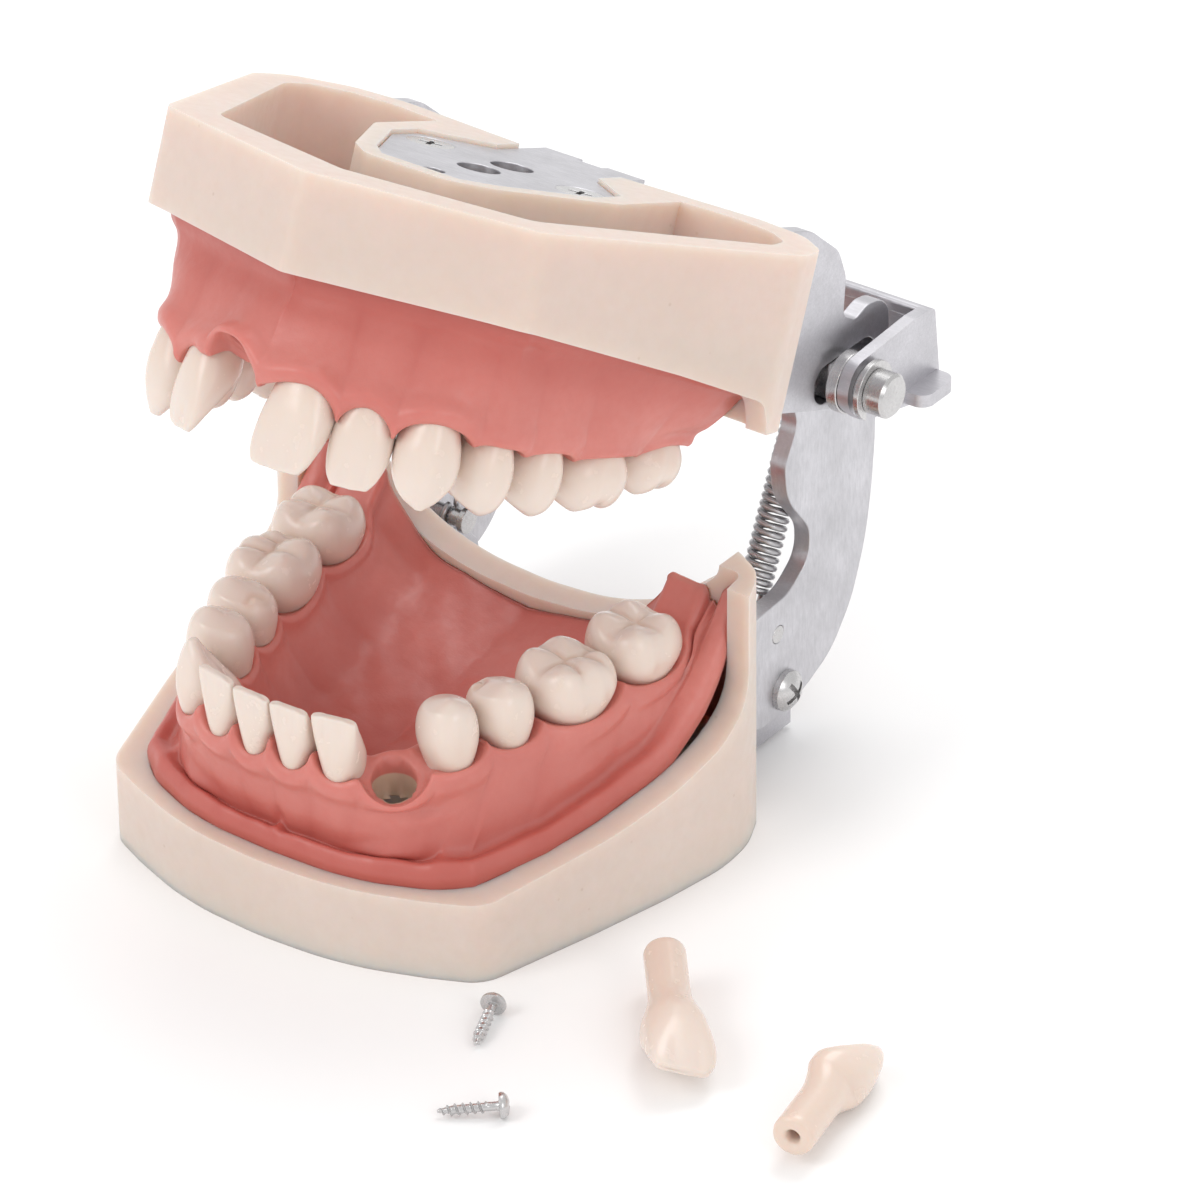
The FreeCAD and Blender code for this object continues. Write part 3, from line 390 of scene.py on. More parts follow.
UPPER = [
    ("central_incisor", "uincisor", 4.45, 4.0, -86, 8.0, 7.0, -21.9, 10.9, 11, 2.4),
    ("lateral_incisor", "ulateral", 10.4, 7.1, -63, 6.9, 6.2, -22.9, 10.0, 9, 2.4),
    ("canine", "canine", 16.2, 10.6, -46, 7.4, 8.2, -22.8, 10.7, 7, 2.4),
    ("first_premolar", "upremolar", 19.2, 16.7, -22, 6.9, 9.0, -24.6, 8.7, 0, 2.4),
    ("second_premolar", "upremolar", 21.0, 23.4, -13, 6.8, 9.2, -24.9, 8.3, 0, 2.4),
    ("first_molar", "umolar", 22.0, 32.1, -8, 10.2, 10.8, -25.3, 7.5, 0, 2.4),
    ("second_molar", "umolar2", 22.7, 42.2, -2, 9.6, 10.4, -24.3, 6.9, 0, 2.4),
]
LOOSE = {"lower_left_canine": "loose_canine", "upper_right_central_incisor": "loose_incisor"}

T9 = [0, .08, .20, .35, .50, .65, .80, .92, 1.0]
FRONT = {
    "uincisor": dict(am=[.77, .84, .92, .97, 1.0, 1.0, .985, .94, .84], ad=[.77, .85, .93, .985, 1.0, .99, .945, .86, .70],
                     yl=[-.88, -.95, -1.0, -1.0, -.965, -.905, -.82, -.74, -.665], yg=[.88, .94, .93, .76, .44, .12, -.12, -.25, -.34],
                     p=[2.1, 2.15, 2.25, 2.4, 2.6, 2.8, 3.1, 3.5, 3.8]),
    "ulateral": dict(am=[.76, .84, .93, .985, 1.0, .985, .93, .83, .66], ad=[.76, .85, .94, .99, 1.0, .97, .89, .75, .54],
                     yl=[-.88, -.95, -1.0, -1.0, -.965, -.905, -.82, -.74, -.665], yg=[.88, .94, .93, .76, .44, .12, -.12, -.25, -.34],
                     p=[2.1, 2.15, 2.25, 2.4, 2.5, 2.6, 2.8, 3.0, 3.1]),
    "lincisor": dict(am=[.74, .78, .83, .88, .92, .955, .985, 1.005, .99], ad=[.74, .78, .83, .88, .92, .955, .985, 1.0, .97],
                     yl=[-.88, -.94, -.98, -.96, -.90, -.82, -.73, -.66, -.61], yg=[.88, .95, .92, .72, .42, .12, -.12, -.24, -.31],
                     p=[2.1, 2.15, 2.25, 2.4, 2.6, 2.9, 3.3, 3.8, 4.2]),
    "canine": dict(am=[.72, .79, .88, .96, 1.0, .965, .80, .52, .15], ad=[.72, .79, .89, .98, 1.0, .93, .72, .44, .15],
                   yl=[-.88, -.96, -1.0, -1.0, -.95, -.87, -.75, -.62, -.50], yg=[.88, .96, .96, .82, .56, .30, .04, -.12, -.22],
                   p=[2.0, 2.05, 2.1, 2.15, 2.2, 2.2, 2.15, 2.1, 2.0]),
}
N_TH = 60


def unit_ring(p, n=N_TH):
    th = (np.arange(n) + .5) * 2 * np.pi / n
    c, s = np.cos(th), np.sin(th)
    return np.sign(c) * np.abs(c) ** (2 / p), np.sign(s) * np.abs(s) ** (2 / p)


def front_crown(kind, md, bl, h, nlev=26):
    """Incisors and canines: rings from the neck to the biting edge. Mesial is +x, lip side -y."""
    T = FRONT[kind]
    a, b = md / 2, bl / 2
    ts = np.concatenate([np.linspace(-.14, 0, 3)[:-1], np.linspace(0, 1, nlev)])
    tq = np.clip(ts, 0, 1)
    g = {k: mono(T9, T[k], tq) for k in T}
    rows, tz, pit = [], [], []
    for i, t in enumerate(ts):
        ux, uy = unit_ring(g["p"][i])
        x = ux * np.where(ux > 0, g["am"][i], g["ad"][i]) * a
        yl, yg = g["yl"][i] * b, g["yg"][i] * b
        cy, hy = (yl + yg) / 2, (yg - yl) / 2
        y = cy + uy * hy
        z = np.full_like(x, t * h)
        tt = np.clip(t, 0, 1)
        # marginal ridges and cingulum on the tongue side, lobes on the lip side
        xr = x / a
        ling = np.clip(uy, 0, 1)
        labl = np.clip(-uy, 0, 1)
        mid = math.exp(-((tt - .62) / .26) ** 2)
        y += ling * b * mid * (.20 * np.abs(xr) ** 2 * 1.2 - .07 * (1 - np.abs(xr) ** 2))
        if kind == "canine":
            y += ling * b * .10 * mid * np.exp(-(xr / .22) ** 2)
            y -= labl * b * .10 * math.exp(-((tt - .6) / .35) ** 2) * np.exp(-(xr / .34) ** 2)
        else:
            y += labl * b * .030 * smooth01((tt - .45) / .4) * (np.exp(-((xr - .36) / .13) ** 2) + np.exp(-((xr + .36) / .13) ** 2))
        # the biting edge drops a little at the corners, more at the distal one
        if kind != "canine":
            k = smooth01((tt - .55) / .45)
            drop = np.where(xr > 0, .025, {"uincisor": .07, "ulateral": .10}.get(kind, .022)) * np.abs(xr) ** 3
            z -= h * k * drop
            z += h * .004 * k * np.cos(xr * 9.5)
        # weight for a neck line dip towards the tip between the teeth; computed, not applied to z
        k0 = np.clip(1 - (t + .14) / .34, 0, 1)
        rows.append(np.stack([x, y, z], 1)); tz.append(np.full(len(x), tt)); pit.append(np.zeros(len(x)))
    # rounded closing of the edge
    last = rows[-1]
    cen = np.array([last[:, 0].mean(), last[:, 1].mean(), 0])
    ux, uy = unit_ring(g["p"][-1])
    th_edge = (g["yg"][-1] - g["yl"][-1]) / 2 * b
    for f, lift in ((.90, .42), (.70, .72), (.42, .93), (.16, 1.0)):
        r = last.copy()
        wx = (1 - f) * th_edge * 1.15
        r[:, 0] = cen[0] + np.sign(last[:, 0] - cen[0]) * np.maximum(0, np.abs(last[:, 0] - cen[0]) - wx)
        r[:, 1] = cen[1] + (last[:, 1] - cen[1]) * f
        r[:, 2] = last[:, 2] + lift * .30 * min(1, th_edge)
        rows.append(r); tz.append(np.ones(len(r))); pit.append(np.zeros(len(r)))
    V = np.concatenate(rows)
    # keep the stated height
    top = V[:, 2].max()
    k = V[:, 2] > 0
    V[k, 2] *= h / top
    return V, np.concatenate(tz), np.concatenate(pit), len(rows)


# back teeth: cusps as cones, the hollows between them are the fissures.
# x mesial +, y tongue side +; in half widths. (x, y, height, slope, rx, ry)
BACK = {
    "lpremolar1": dict(p=2.25, cusps=[(.02, -.34, 1.0, .95, 1.0, .85), (.0, .50, .70, .85, .9, .9)], ridge=.70, taper=.90, sr=.80, slope=.62),
    "lpremolar2": dict(p=2.35, cusps=[(.04, -.38, 1.0, .90, 1.0, .9), (.30, .48, .84, .85, .8, .9), (-.36, .50, .78, .85, .8, .9)], ridge=.76, taper=.94, sr=.82, slope=.6),
    "lmolar1": dict(p=2.8, cusps=[(.50, -.50, .97, .9, 1, 1), (-.08, -.54, .95, .9, .95, 1), (-.62, -.36, .87, .9, .9, 1), (.46, .50, 1.0, .95, 1, 1), (-.34, .52, .97, .95, 1, 1)],
                    ridge=.80, taper=.92, sr=.84, slope=.55),
    "lmolar2": dict(p=2.9, cusps=[(.46, -.50, .98, .9, 1, 1), (-.44, -.50, .95, .9, 1, 1), (.44, .50, 1.0, .95, 1, 1), (-.42, .50, .96, .95, 1, 1)],
                    ridge=.80, taper=.92, sr=.84, slope=.55),
    "upremolar": dict(p=2.3, cusps=[(.0, -.46, 1.0, .95, 1.0, .95), (.06, .48, .92, .95, .95, .95)], ridge=.78, taper=.88, sr=.82, slope=.62),
    "umolar": dict(p=2.7, cusps=[(.46, -.50, .98, .9, 1, 1), (-.42, -.50, .94, .9, 1, 1), (.34, .44, 1.0, .82, 1.1, 1.1), (-.52, .50, .86, .95, .9, .9)],
                   ridge=.78, taper=.90, sr=.84, slope=.55),
    "umolar2": dict(p=2.6, cusps=[(.44, -.50, .98, .9, 1, 1), (-.40, -.48, .92, .9, 1, 1), (.30, .44, 1.0, .82, 1.1, 1.1), (-.50, .46, .82, .95, .9, .9)],
                    ridge=.78, taper=.90, sr=.84, slope=.55),
}


def smax(a, b, k):
    h = np.clip(.5 + .5 * (a - b) / k, 0, 1)
    return b * (1 - h) + a * h + k * h * (1 - h)


def back_crown(kind, md, bl, h, nlev=13, nroll=8, ncap=20):
    T = BACK[kind]
    a, b = md / 2, bl / 2

    def top(x, y):
        zz, first, second = None, np.full_like(x, -9.0), np.full_like(x, -9.0)
        for cx, cy, ch, sl, rx, ry in T["cusps"]:
            X, Y = cx * a * .98, cy * b * .98
            dx, dy = (x - X), (y - Y)
            # longer towards the middle of the tooth
            L = math.hypot(X, Y) + 1e-6
            ux, uy = X / L, Y / L
            al = dx * ux + dy * uy
            ac = -dx * uy + dy * ux
            d = np.sqrt((al * .80) ** 2 + (ac * 1.05) ** 2 + .55 ** 2) - .55
            z = h * ch - T["slope"] * sl * d
            # a bit steeper on the outer side
            z -= np.clip(al, 0, None) ** 2 * .16
            second = np.maximum(second, np.minimum(first, z))
            first = np.maximum(first, z)
            zz = z if zz is None else smax(zz, z, .16)
        # marginal ridges close the ends of the table
        for sx in (1, -1):
            X = sx * a * .76
            d = np.sqrt((x - X) ** 2 + .3 ** 2) - .3
            z = h * T["ridge"] - .62 * d - .10 * (y / b) ** 2
            second = np.maximum(second, np.minimum(first, z))
            first = np.maximum(first, z)
            zz = smax(zz, z, .20)
        gap = first - second
        fis = np.exp(-(gap / .30) ** 2)
        rad = np.sqrt((x / a) ** 2 + (y / b) ** 2)
        fis = fis * smooth01((.98 - rad) / .30)
        zz = zz - .20 * fis
        return zz, fis

    rows, tz, pit = [], [], []
    ux, uy = unit_ring(T["p"])
    # outline: narrower to the tongue side on the upper
    w = 1 - .06 * np.clip(uy, 0, 1)
    X1, Y1 = ux * a * w, uy * b
    neck_a, neck_b = (.80, .86) if "molar" in kind and "pre" not in kind else (.76, .88)
    zeq = .44 * h
    for t in list(np.linspace(-.14, 0, 3)[:-1]) + list(np.linspace(0, 1, nlev)):
        tt = max(0, t)
        e = math.sin(math.pi / 2 * tt) ** 1.15
        fa, fb = neck_a + (1 - neck_a) * e, neck_b + (1 - neck_b) * e
        p = 2.2 + (T["p"] - 2.2) * e
        vx, vy = unit_ring(p)
        wv = 1 - .06 * np.clip(vy, 0, 1)
        x, y = vx * a * wv * fa, vy * b * fb
        z = np.full_like(x, (t if t < 0 else tt * .44) * h)
        if "lmolar" in kind:       # buccal groove running down the side
            y += np.where(vy < 0, 1, 0) * .34 * np.exp(-((x / a - .20) / .10) ** 2) * smooth01((tt - .15) / .6)
            y += np.where(vy < 0, 1, 0) * (.22 if kind == "lmolar1" else 0) * np.exp(-((x / a + .40) / .09) ** 2) * smooth01((tt - .3) / .6)
        if "umolar" in kind:
            y += np.where(vy < 0, 1, 0) * .34 * np.exp(-((x / a - .02) / .10) ** 2) * smooth01((tt - .15) / .6)
        rows.append(np.stack([x, y, z], 1)); tz.append(np.full(len(x), tt * .44)); pit.append(np.zeros(len(x)))
    X1, Y1 = rows[-1][:, 0].copy(), rows[-1][:, 1].copy()
    sr = T["sr"] * T["taper"]
    phm = math.radians(66)
    zr, fr = top(X1 * sr, Y1 * sr)
    for i in range(1, nroll + 1):
        ph = phm * i / nroll
        s = sr + (1 - sr) * (math.cos(ph) - math.cos(phm)) / (1 - math.cos(phm))
        q = math.sin(ph) / math.sin(phm)
        z = zeq + (zr - zeq) * q
        rows.append(np.stack([X1 * s, Y1 * s, z], 1)); tz.append(z / h); pit.append(fr * smooth01((q - .6) / .4))
    for i in range(1, ncap + 1):
        s = sr * (1 - i / (ncap + .35))
        z, f = top(X1 * s, Y1 * s)
        rows.append(np.stack([X1 * s, Y1 * s, z], 1)); tz.append(z / h); pit.append(f)
    V = np.concatenate(rows)
    top_z = V[:, 2].max()
    k = V[:, 2] > 0
    V[k, 2] *= h / top_z
    return V, np.concatenate(tz), np.concatenate(pit), len(rows)


def crown_mesh(kind, md, bl, h, flip, peg=None):
    V, tz, pit, n = (front_crown if kind in FRONT else back_crown)(kind, md, bl, h)
    if peg:                       # whole tooth with its peg: leave the buried rows off, add the peg
        V, tz, pit = V[2 * N_TH:], tz[2 * N_TH:], pit[2 * N_TH:]
        n -= 2
        neck = V[:N_TH]
        ang = np.arctan2(neck[:, 1], neck[:, 0])
        rows = []
        prof = [(-.5, .22), (-1.0, .45), (-1.7, .72), (-2.6, .93), (-3.6, 1.0), (-5.5, 1.0), (-7.5, 1.0), (-9.6, 1.0), (-10.2, 1.0)]
        for z, k in prof:
            c = np.stack([np.cos(ang) * peg, np.sin(ang) * peg, np.full(N_TH, z)], 1)
            r = neck * (1 - k) + c * k
            r[:, 2] = z
            rows.append(r)
        for z, rr in ((-10.55, peg - .12), (-10.76, peg - .38), (-10.8, peg - .75), (-10.8, 1.25), (-10.72, 1.0), (-10.4, .80), (-9.0, .72), (-5.0, .72), (-4.8, .1)):
            rows.append(np.stack([np.cos(ang) * rr, np.sin(ang) * rr, np.full(N_TH, z)], 1))
        R = np.concatenate(rows[::-1])
        V = np.concatenate([R, V])
        tz = np.concatenate([np.zeros(len(R)), tz]); pit = np.concatenate([np.zeros(len(R)), pit])
        n += len(rows)
    F = grid_faces(n, N_TH, True)
    F.append(tuple(range((n - 1) * N_TH, n * N_TH)))
    F.append(tuple(range(N_TH - 1, -1, -1)))
    V = V.copy()
    if flip:
        V[:, 0] *= -1
        F = [tuple(reversed(f)) for f in F]
    return V, F, tz, pit


def place(V, x, y, z, ang_deg, tilt_deg, down):
    """Tooth's own frame into its jaw's frame, as the model's teeth are placed."""
    a, t = math.radians(ang_deg), math.radians(tilt_deg)
    o = np.array([math.cos(a), math.sin(a), 0])
    yl = -o
    zl = np.array([0, 0, -1.0 if down else 1.0])
    xl = np.cross(yl, zl)
    R = np.stack([xl, yl, zl], 1)
    Rx = np.array([[1, 0, 0], [0, math.cos(t), -math.sin(t)], [0, math.sin(t), math.cos(t)]])
    return V @ (R @ Rx).T + np.array([x, y, z])


def axis_of(x, y, z, ang_deg, tilt_deg, down):
    P = place(np.array([[0, 0, 0], [0, 0, 1.0]]), x, y, z, ang_deg, tilt_deg, down)
    return P[0], P[1] - P[0]


def build_teeth():
    for jaw, table, down in (("lower", LOWER, False), ("upper", UPPER, True)):
        for nm, kind, x, y, ang, md, bl, z, h, tilt, pr in table:
            for side, sx in (("left", 1), ("right", -1)):
                full = jaw + "_" + side + "_" + nm
                if full in LOOSE:
                    continue
                ad = ang if sx > 0 else 180 - ang
                # local +x is distal on the lower left and upper right
                dist_pos = (sx > 0) != down
                V, F, tz, pit = crown_mesh(kind, md, bl, h, dist_pos)
                W = place(V, sx * x, y, z, ad, tilt, down)
                if down:
                    W = up_w(W)
                mesh_obj("tooth_" + full, W, F, MAT_TOOTH, jaw + "_jaw", (full,), attrs=dict(tz=tz, pit=pit))


build_teeth()
# ------------------------------------------------------------------ gums
def outline_pts(half):
    return np.array(half, float)


def resample(P, n):
    P = np.asarray(P, float)
    d = np.r_[0, np.cumsum(np.linalg.norm(np.diff(P, axis=0), axis=1))]
    q = np.linspace(0, d[-1], n)
    return np.stack([np.interp(q, d, P[:, k]) for k in range(P.shape[1])], 1)


def soften(P, n, closed=False):
    Q = P.copy()
    for _ in range(n):
        Q[1:-1] = .25 * Q[:-2] + .5 * Q[1:-1] + .25 * Q[2:]
    return Q


def catmull_rows(C, per):
    """C: K control points (K, N, 3); per[k] samples on each of the K-1 spans. Returns rows."""
    K = len(C)
    rows = []
    for k in range(K - 1):
        p0 = C[max(0, k - 1)]; p1 = C[k]; p2 = C[k + 1]; p3 = C[min(K - 1, k + 2)]
        l1 = np.linalg.norm(p2 - p1, axis=1, keepdims=True) + 1e-6
        l0 = np.linalg.norm(p1 - p0, axis=1, keepdims=True) + 1e-6
        l2 = np.linalg.norm(p3 - p2, axis=1, keepdims=True) + 1e-6
        if k == 0: m1 = (p2 - p1)
        else: m1 = l1 * ((p1 - p0) / l0 * l1 + (p2 - p1) / l1 * l0) / (l0 + l1)
        if k == K - 2: m2 = (p2 - p1)
        else: m2 = l1 * ((p2 - p1) / l1 * l2 + (p3 - p2) / l2 * l1) / (l1 + l2)
        for i in range(per[k]):
            s = i / per[k]
            h00, h10, h01, h11 = 2*s**3-3*s**2+1, s**3-2*s**2+s, -2*s**3+3*s**2, s**3-s**2
            rows.append(h00 * p1 + h10 * m1 + h01 * p2 + h11 * m2)
    rows.append(C[-1])
    return rows


def build_gum(jaw, table, out_half, keys, mid_y, rear_pt, P):
    """jaw frame: x, y, e where e is height towards the teeth's tips (up for the lower, down for the upper).
    keys: (arch index position, outline arc fraction) pairs. P: shape numbers."""
    down = jaw == "upper"
    sgn = -1.0 if down else 1.0
    half = [(t[2], t[3]) for t in table]
    # arch line through the teeth, both sides, plus the rear end
    ctr = [(-x, y) for x, y in reversed(half)] + half
    ctr = [(-rear_pt[0], rear_pt[1])] + ctr + [rear_pt]
    ctr = np.array(ctr, float)
    tt = np.r_[0, np.cumsum(np.linalg.norm(np.diff(ctr, axis=0), axis=1))]
    dense_t = np.linspace(0, tt[-1], 2401)
    dense = spline(tt, ctr, dense_t)
    arc = np.r_[0, np.cumsum(np.linalg.norm(np.diff(dense, axis=0), axis=1))]
    mid = arc[-1] / 2
    S = arc - mid                              # 0 at the front middle
    # teeth along S
    teeth = []
    for i, t in enumerate(table):
        k = np.argmin(np.hypot(dense[1200:, 0] - t[2], dense[1200:, 1] - t[3])) + 1200
        teeth.append((S[k], t))
    bounds = [0.0]
    for i in range(len(teeth) - 1):
        (sa, ta), (sb, tb) = teeth[i], teeth[i + 1]
        w = ta[5] / (ta[5] + tb[5])
        bounds.append(sa + (sb - sa) * w)
    bounds.append(teeth[-1][0] + table[-1][5] / 2)
    bounds = np.array(bounds)
    s_end = S[-1]
    # columns: denser at the front
    ns = P.get("cols", 190)
    q = np.linspace(0, 1, ns)
    col_s = s_end * (q * .9 + .1 * q ** 2)
    col_s = np.r_[-col_s[:0:-1], col_s]
    A = np.stack([np.interp(col_s, S, dense[:, 0]), np.interp(col_s, S, dense[:, 1])], 1)
    # outer outline, matched by keys
    O_half = resample(outline_pts(out_half), 800)
    oa = np.r_[0, np.cumsum(np.linalg.norm(np.diff(O_half, axis=0), axis=1))]
    O_half = soften(O_half, 12)
    ks = np.array([k[0] for k in keys]) * s_end
    ko = np.array([k[1] for k in keys]) * oa[-1]
    oq = mono(ks, ko, np.abs(col_s))
    O = np.stack([np.interp(oq, oa, O_half[:, 0]) * np.where(col_s < 0, -1, 1), np.interp(oq, oa, O_half[:, 1])], 1)
    # middle line
    mq = np.abs(col_s) / s_end
    M = np.stack([np.zeros(len(col_s)), mono(mid_y[0], mid_y[1], mq)], 1)
    n = len(col_s)
    # tooth data per column
    a_s = np.abs(col_s)
    idx = np.clip(np.searchsorted(bounds, a_s, side="right") - 1, 0, len(table) - 1)
    past = a_s > bounds[-1]
    c_s = np.array([t[0] for t in teeth])[idx]
    lo_b, hi_b = bounds[idx], bounds[idx + 1]
    r = np.where(a_s < c_s, (c_s - a_s) / (c_s - lo_b), (a_s - c_s) / (hi_b - c_s))
    r = np.clip(r, 0, 1)

    def per_tooth(vals):
        """value that is flat over a tooth and blends at the borders"""
        v = np.array(vals, float)
        return mono(np.r_[0, c_s_all, s_end + 5], np.r_[v[0], v, v[-1]], a_s)
    c_s_all = np.array([t[0] for t in teeth])
    zc = per_tooth([abs(t[7]) for t in table])
    bl = per_tooth([t[6] for t in table])
    tilt = per_tooth([math.tan(math.radians(t[9])) for t in table])
    h = per_tooth([t[8] for t in table])
    fade = smooth01((a_s - bounds[-1] + .3) / 2.6)          # behind the last tooth
    side_ang = np.array([t[1] for t in [(0, 0)] * n]) if False else None
    front = smooth01((c_s_all[2] - a_s + 6) / 10)              # 1 at the incisors
    pap = P["pap"][0] * (1 - front) + P["pap"][1] * front
    pap = pap * np.where(a_s < 1e9, 1, 1)
    # missing tooth: the gum lies flatter
    miss_i = P["missing"]
    s_m = c_s_all[miss_i[0]] * miss_i[1]
    w_m = bounds[miss_i[0] + 1] - bounds[miss_i[0]]
    miss = np.exp(-(np.abs(col_s - s_m) / (w_m * .46)) ** 4)
    rr = (1 - np.sqrt(1 - .985 * r ** 2)) / (1 - math.sqrt(.015))      # round neck line, narrow point between
    wide = np.exp(-(np.abs(col_s - s_m) / (w_m * .66)) ** 6)
    pap = pap * (1 - .55 * wide)
    lab_z = zc + P["lab0"] + pap * rr * (1 - fade)
    lin_z = zc + P["lin0"] + pap * .92 * rr * (1 - fade)
    g = 1 - P["emb"] * r ** 3.0
    Dl = bl / 2 * g * P["dl"] + P["off"]
    Dg = bl / 2 * g * P["dg"] + P["off"]
    Ds = (bl / 2 * (1 - P["emb"] * (.22 + .16 * r ** 3)) * P["dl"] + P["off"]) * (1 - fade * .35)   # evened out below the necks
    # where a tooth is out, the rim of its place sits lower and closer
    Dl = Dl * (1 - fade * .35) - miss * P.get("miss_in", .6)
    Dg = Dg * (1 - fade * .35) - miss * P.get("miss_in", .6)
    rise = np.clip((a_s - bounds[-1]) / (s_end - bounds[-1]), 0, 1) ** 1.2 * P["pad_rise"]
    lab_z = lab_z - fade * P["pad_drop"] + rise
    lin_z = lin_z - fade * P["pad_drop"] + rise
    lab_z = lab_z + miss * P.get("miss_lab", 0)
    lin_z = lin_z + miss * P.get("miss_lin", 0)
    Do = np.linalg.norm(O - A, axis=1)
    Di = np.linalg.norm(M - A, axis=1)
    tA = np.gradient(A, axis=0)
    tA = tA / np.linalg.norm(tA, axis=1, keepdims=True)
    nA = np.stack([tA[:, 1], -tA[:, 0]], 1)    # outwards, square to the arch
    tO = np.gradient(O, axis=0)
    tO = tO / (np.linalg.norm(tO, axis=1, keepdims=True) + 1e-9)
    nO = np.stack([tO[:, 1], -tO[:, 0]], 1)    # outwards, square to the outline
    nO = soften(nO, 12)
    nO = nO / np.linalg.norm(nO, axis=1, keepdims=True)
    ni = (M - A) / Di[:, None]
    # lean of the tooth moves the margin outwards with height
    sh_l = tilt * (lab_z - zc)
    sh_g = tilt * (lin_z - zc)
    em = P["em"] * (1 - r ** 2) * (1 - fade) * (1 - .2 * miss)
    zo = P["z_out"](col_s / s_end)           # height of the outer border
    zv = P["z_fold"](col_s / s_end)          # height in the fold
    kern = np.exp(-(np.arange(-24, 25) / 9.0) ** 2); kern /= kern.sum()
    lab_s = np.convolve(np.r_[np.full(24, lab_z[0]), lab_z, np.full(24, lab_z[-1])], kern, mode="valid")
    lab_h = .5 * lab_s + .5 * lab_z
    Hh = np.maximum(lab_s - zv, 2.0)
    room = Do - Dl - sh_l

    def out_pt(d, z):
        return np.stack([A[:, 0] + nA[:, 0] * d, A[:, 1] + nA[:, 1] * d, z], 1)

    def rim_pt(d, z):
        return np.stack([O[:, 0] - nO[:, 0] * d, O[:, 1] - nO[:, 1] * d, z], 1)

    def mid_pt(w, d, z):
        a, b = out_pt(d, z), rim_pt(P["rim"][2], z)
        return a * (1 - w) + b * w

    def in_pt(d, z):
        return np.stack([A[:, 0] + ni[:, 0] * d, A[:, 1] + ni[:, 1] * d, z], 1)

    fr = P["frenum"](col_s)                  # 1 on a frenum line
    C = []
    per = []
    C.append(rim_pt(.12, zo - 2.2)); per.append(4)
    C.append(rim_pt(.10, zo - .25)); per.append(5)
    C.append(rim_pt(P["rim"][0], zo + P["rim"][1] + fr * .3)); per.append(7)
    C.append(mid_pt(.92, Ds, zv + fr * 1.0)); per.append(8)
    C.append(mid_pt(P["slope"][0], Ds + sh_l * .4 + em * .7, lab_s - Hh * .66 + fr * .4)); per.append(8)
    C.append(mid_pt(P["slope"][1], .8 * Ds + .2 * Dl + sh_l * .7 + em, lab_s - Hh * .36)); per.append(8)
    C.append(out_pt(.5 * (Dl + Ds) + sh_l + P["bulge"] + em * .35, lab_h - 1.35)); per.append(6)
    C.append(out_pt(Dl + sh_l + P["bulge"] * .42, lab_z - .28)); per.append(4)
    C.append(out_pt(Dl + sh_l - .12, lab_z + .02)); per.append(4)
    C.append(out_pt(Dl + sh_l - .75 - .5 * r, lab_z - .45 * (1 - r) + miss * .2)); per.append(7)
    mid_z = (lab_z + lin_z) / 2 - P["col"] * r - .6 * (1 - r) + fade * .55 + miss * .25
    C.append(out_pt((sh_l - sh_g) * 0 + .5 * (sh_l + sh_g), mid_z)); per.append(7)
    C.append(in_pt(Dg - sh_g - .75 - .5 * r, lin_z - .45 * (1 - r))); per.append(4)
    C.append(in_pt(Dg - sh_g - .12, lin_z + .02)); per.append(4)
    C.append(in_pt(Dg - sh_g + P["bulge_g"] * .5, lin_z - .35)); per.append(6)
    C.append(in_pt(Dg - sh_g + P["bulge_g"] + .25 * em, lin_z - 1.5)); per.append(8)
    fl = P["floor"]                          # height of the floor or vault, f(x, y)
    for fd, fz in P["inner"]:
        D = Dg + (Di - Dg) * fd
        X = in_pt(D, np.zeros(n))
        zf = fl(X[:, 0], X[:, 1])
        X[:, 2] = lin_z * (1 - fz) + zf * fz - P["inner_drop"] * (1 - fz) * 1.0
        C.append(X); per.append(8)
    X = in_pt(Di, np.zeros(n)); X[:, 2] = fl(X[:, 0], X[:, 1]); C.append(X)
    per[-1] = 10
    rows = catmull_rows(np.array(C), per)
    G = np.array(rows)                       # rows, cols, 3
    G[-1, :, 0] = 0.0
    nr = len(rows)
    # keep the skin outside the resin ridge that holds the sockets
    kk = int(np.cumsum([0] + per)[6])
    for i in range(3, kk):
        low = G[i, :, 2] < P["ridge_z"] + .8
        if not low.any():
            continue
        p2 = G[i, :, :2]
        dd = np.linalg.norm(p2[:, None, :] - dense[None, ::6, :], axis=2)
        j = dd.argmin(1)
        dn = dd[np.arange(n), j]
        near_p = dense[::6][j]
        out_d = np.linalg.norm(p2[:, None, :] - O[None, :, :], axis=2).min(1)
        push = np.clip(P["ridge_r"] - dn, 0, None) * smooth01((P["ridge_z"] + 1.2 - G[i, :, 2]) / 1.0) * smooth01((out_d - P["ridge_in"]) / .9)
        push = np.convolve(np.r_[np.full(24, push[0]), push, np.full(24, push[-1])], kern, mode="valid") * 1.15
        G[i, :, :2] = p2 + (p2 - near_p) / np.maximum(dn, 1e-6)[:, None] * push[:, None]
    # bumps of life: slow swell and folds of the palate
    XX, YY, ZZ = G[..., 0], G[..., 1], G[..., 2]
    if P.get("detail"):
        G[..., 2] = P["detail"](XX, YY, ZZ)
    u = np.cumsum([0] + per)
    k_m1, k_m2 = int(u[8]), int(u[12])
    rowi = np.arange(nr)[:, None] * np.ones((1, n))
    hi_z = np.maximum(lab_z, lin_z)[None, :]
    # painted shade mask for the gum: 0 high on the ridge, 1 in the low folds and floor
    fold_shade = np.clip((hi_z - G[..., 2] - 2.0) / 9.0, 0, 1)
    dm = np.minimum(np.abs(rowi - k_m1), np.abs(rowi - k_m2))
    marg = np.exp(-(dm / 5.0) ** 2) * (1 - fade)[None, :]
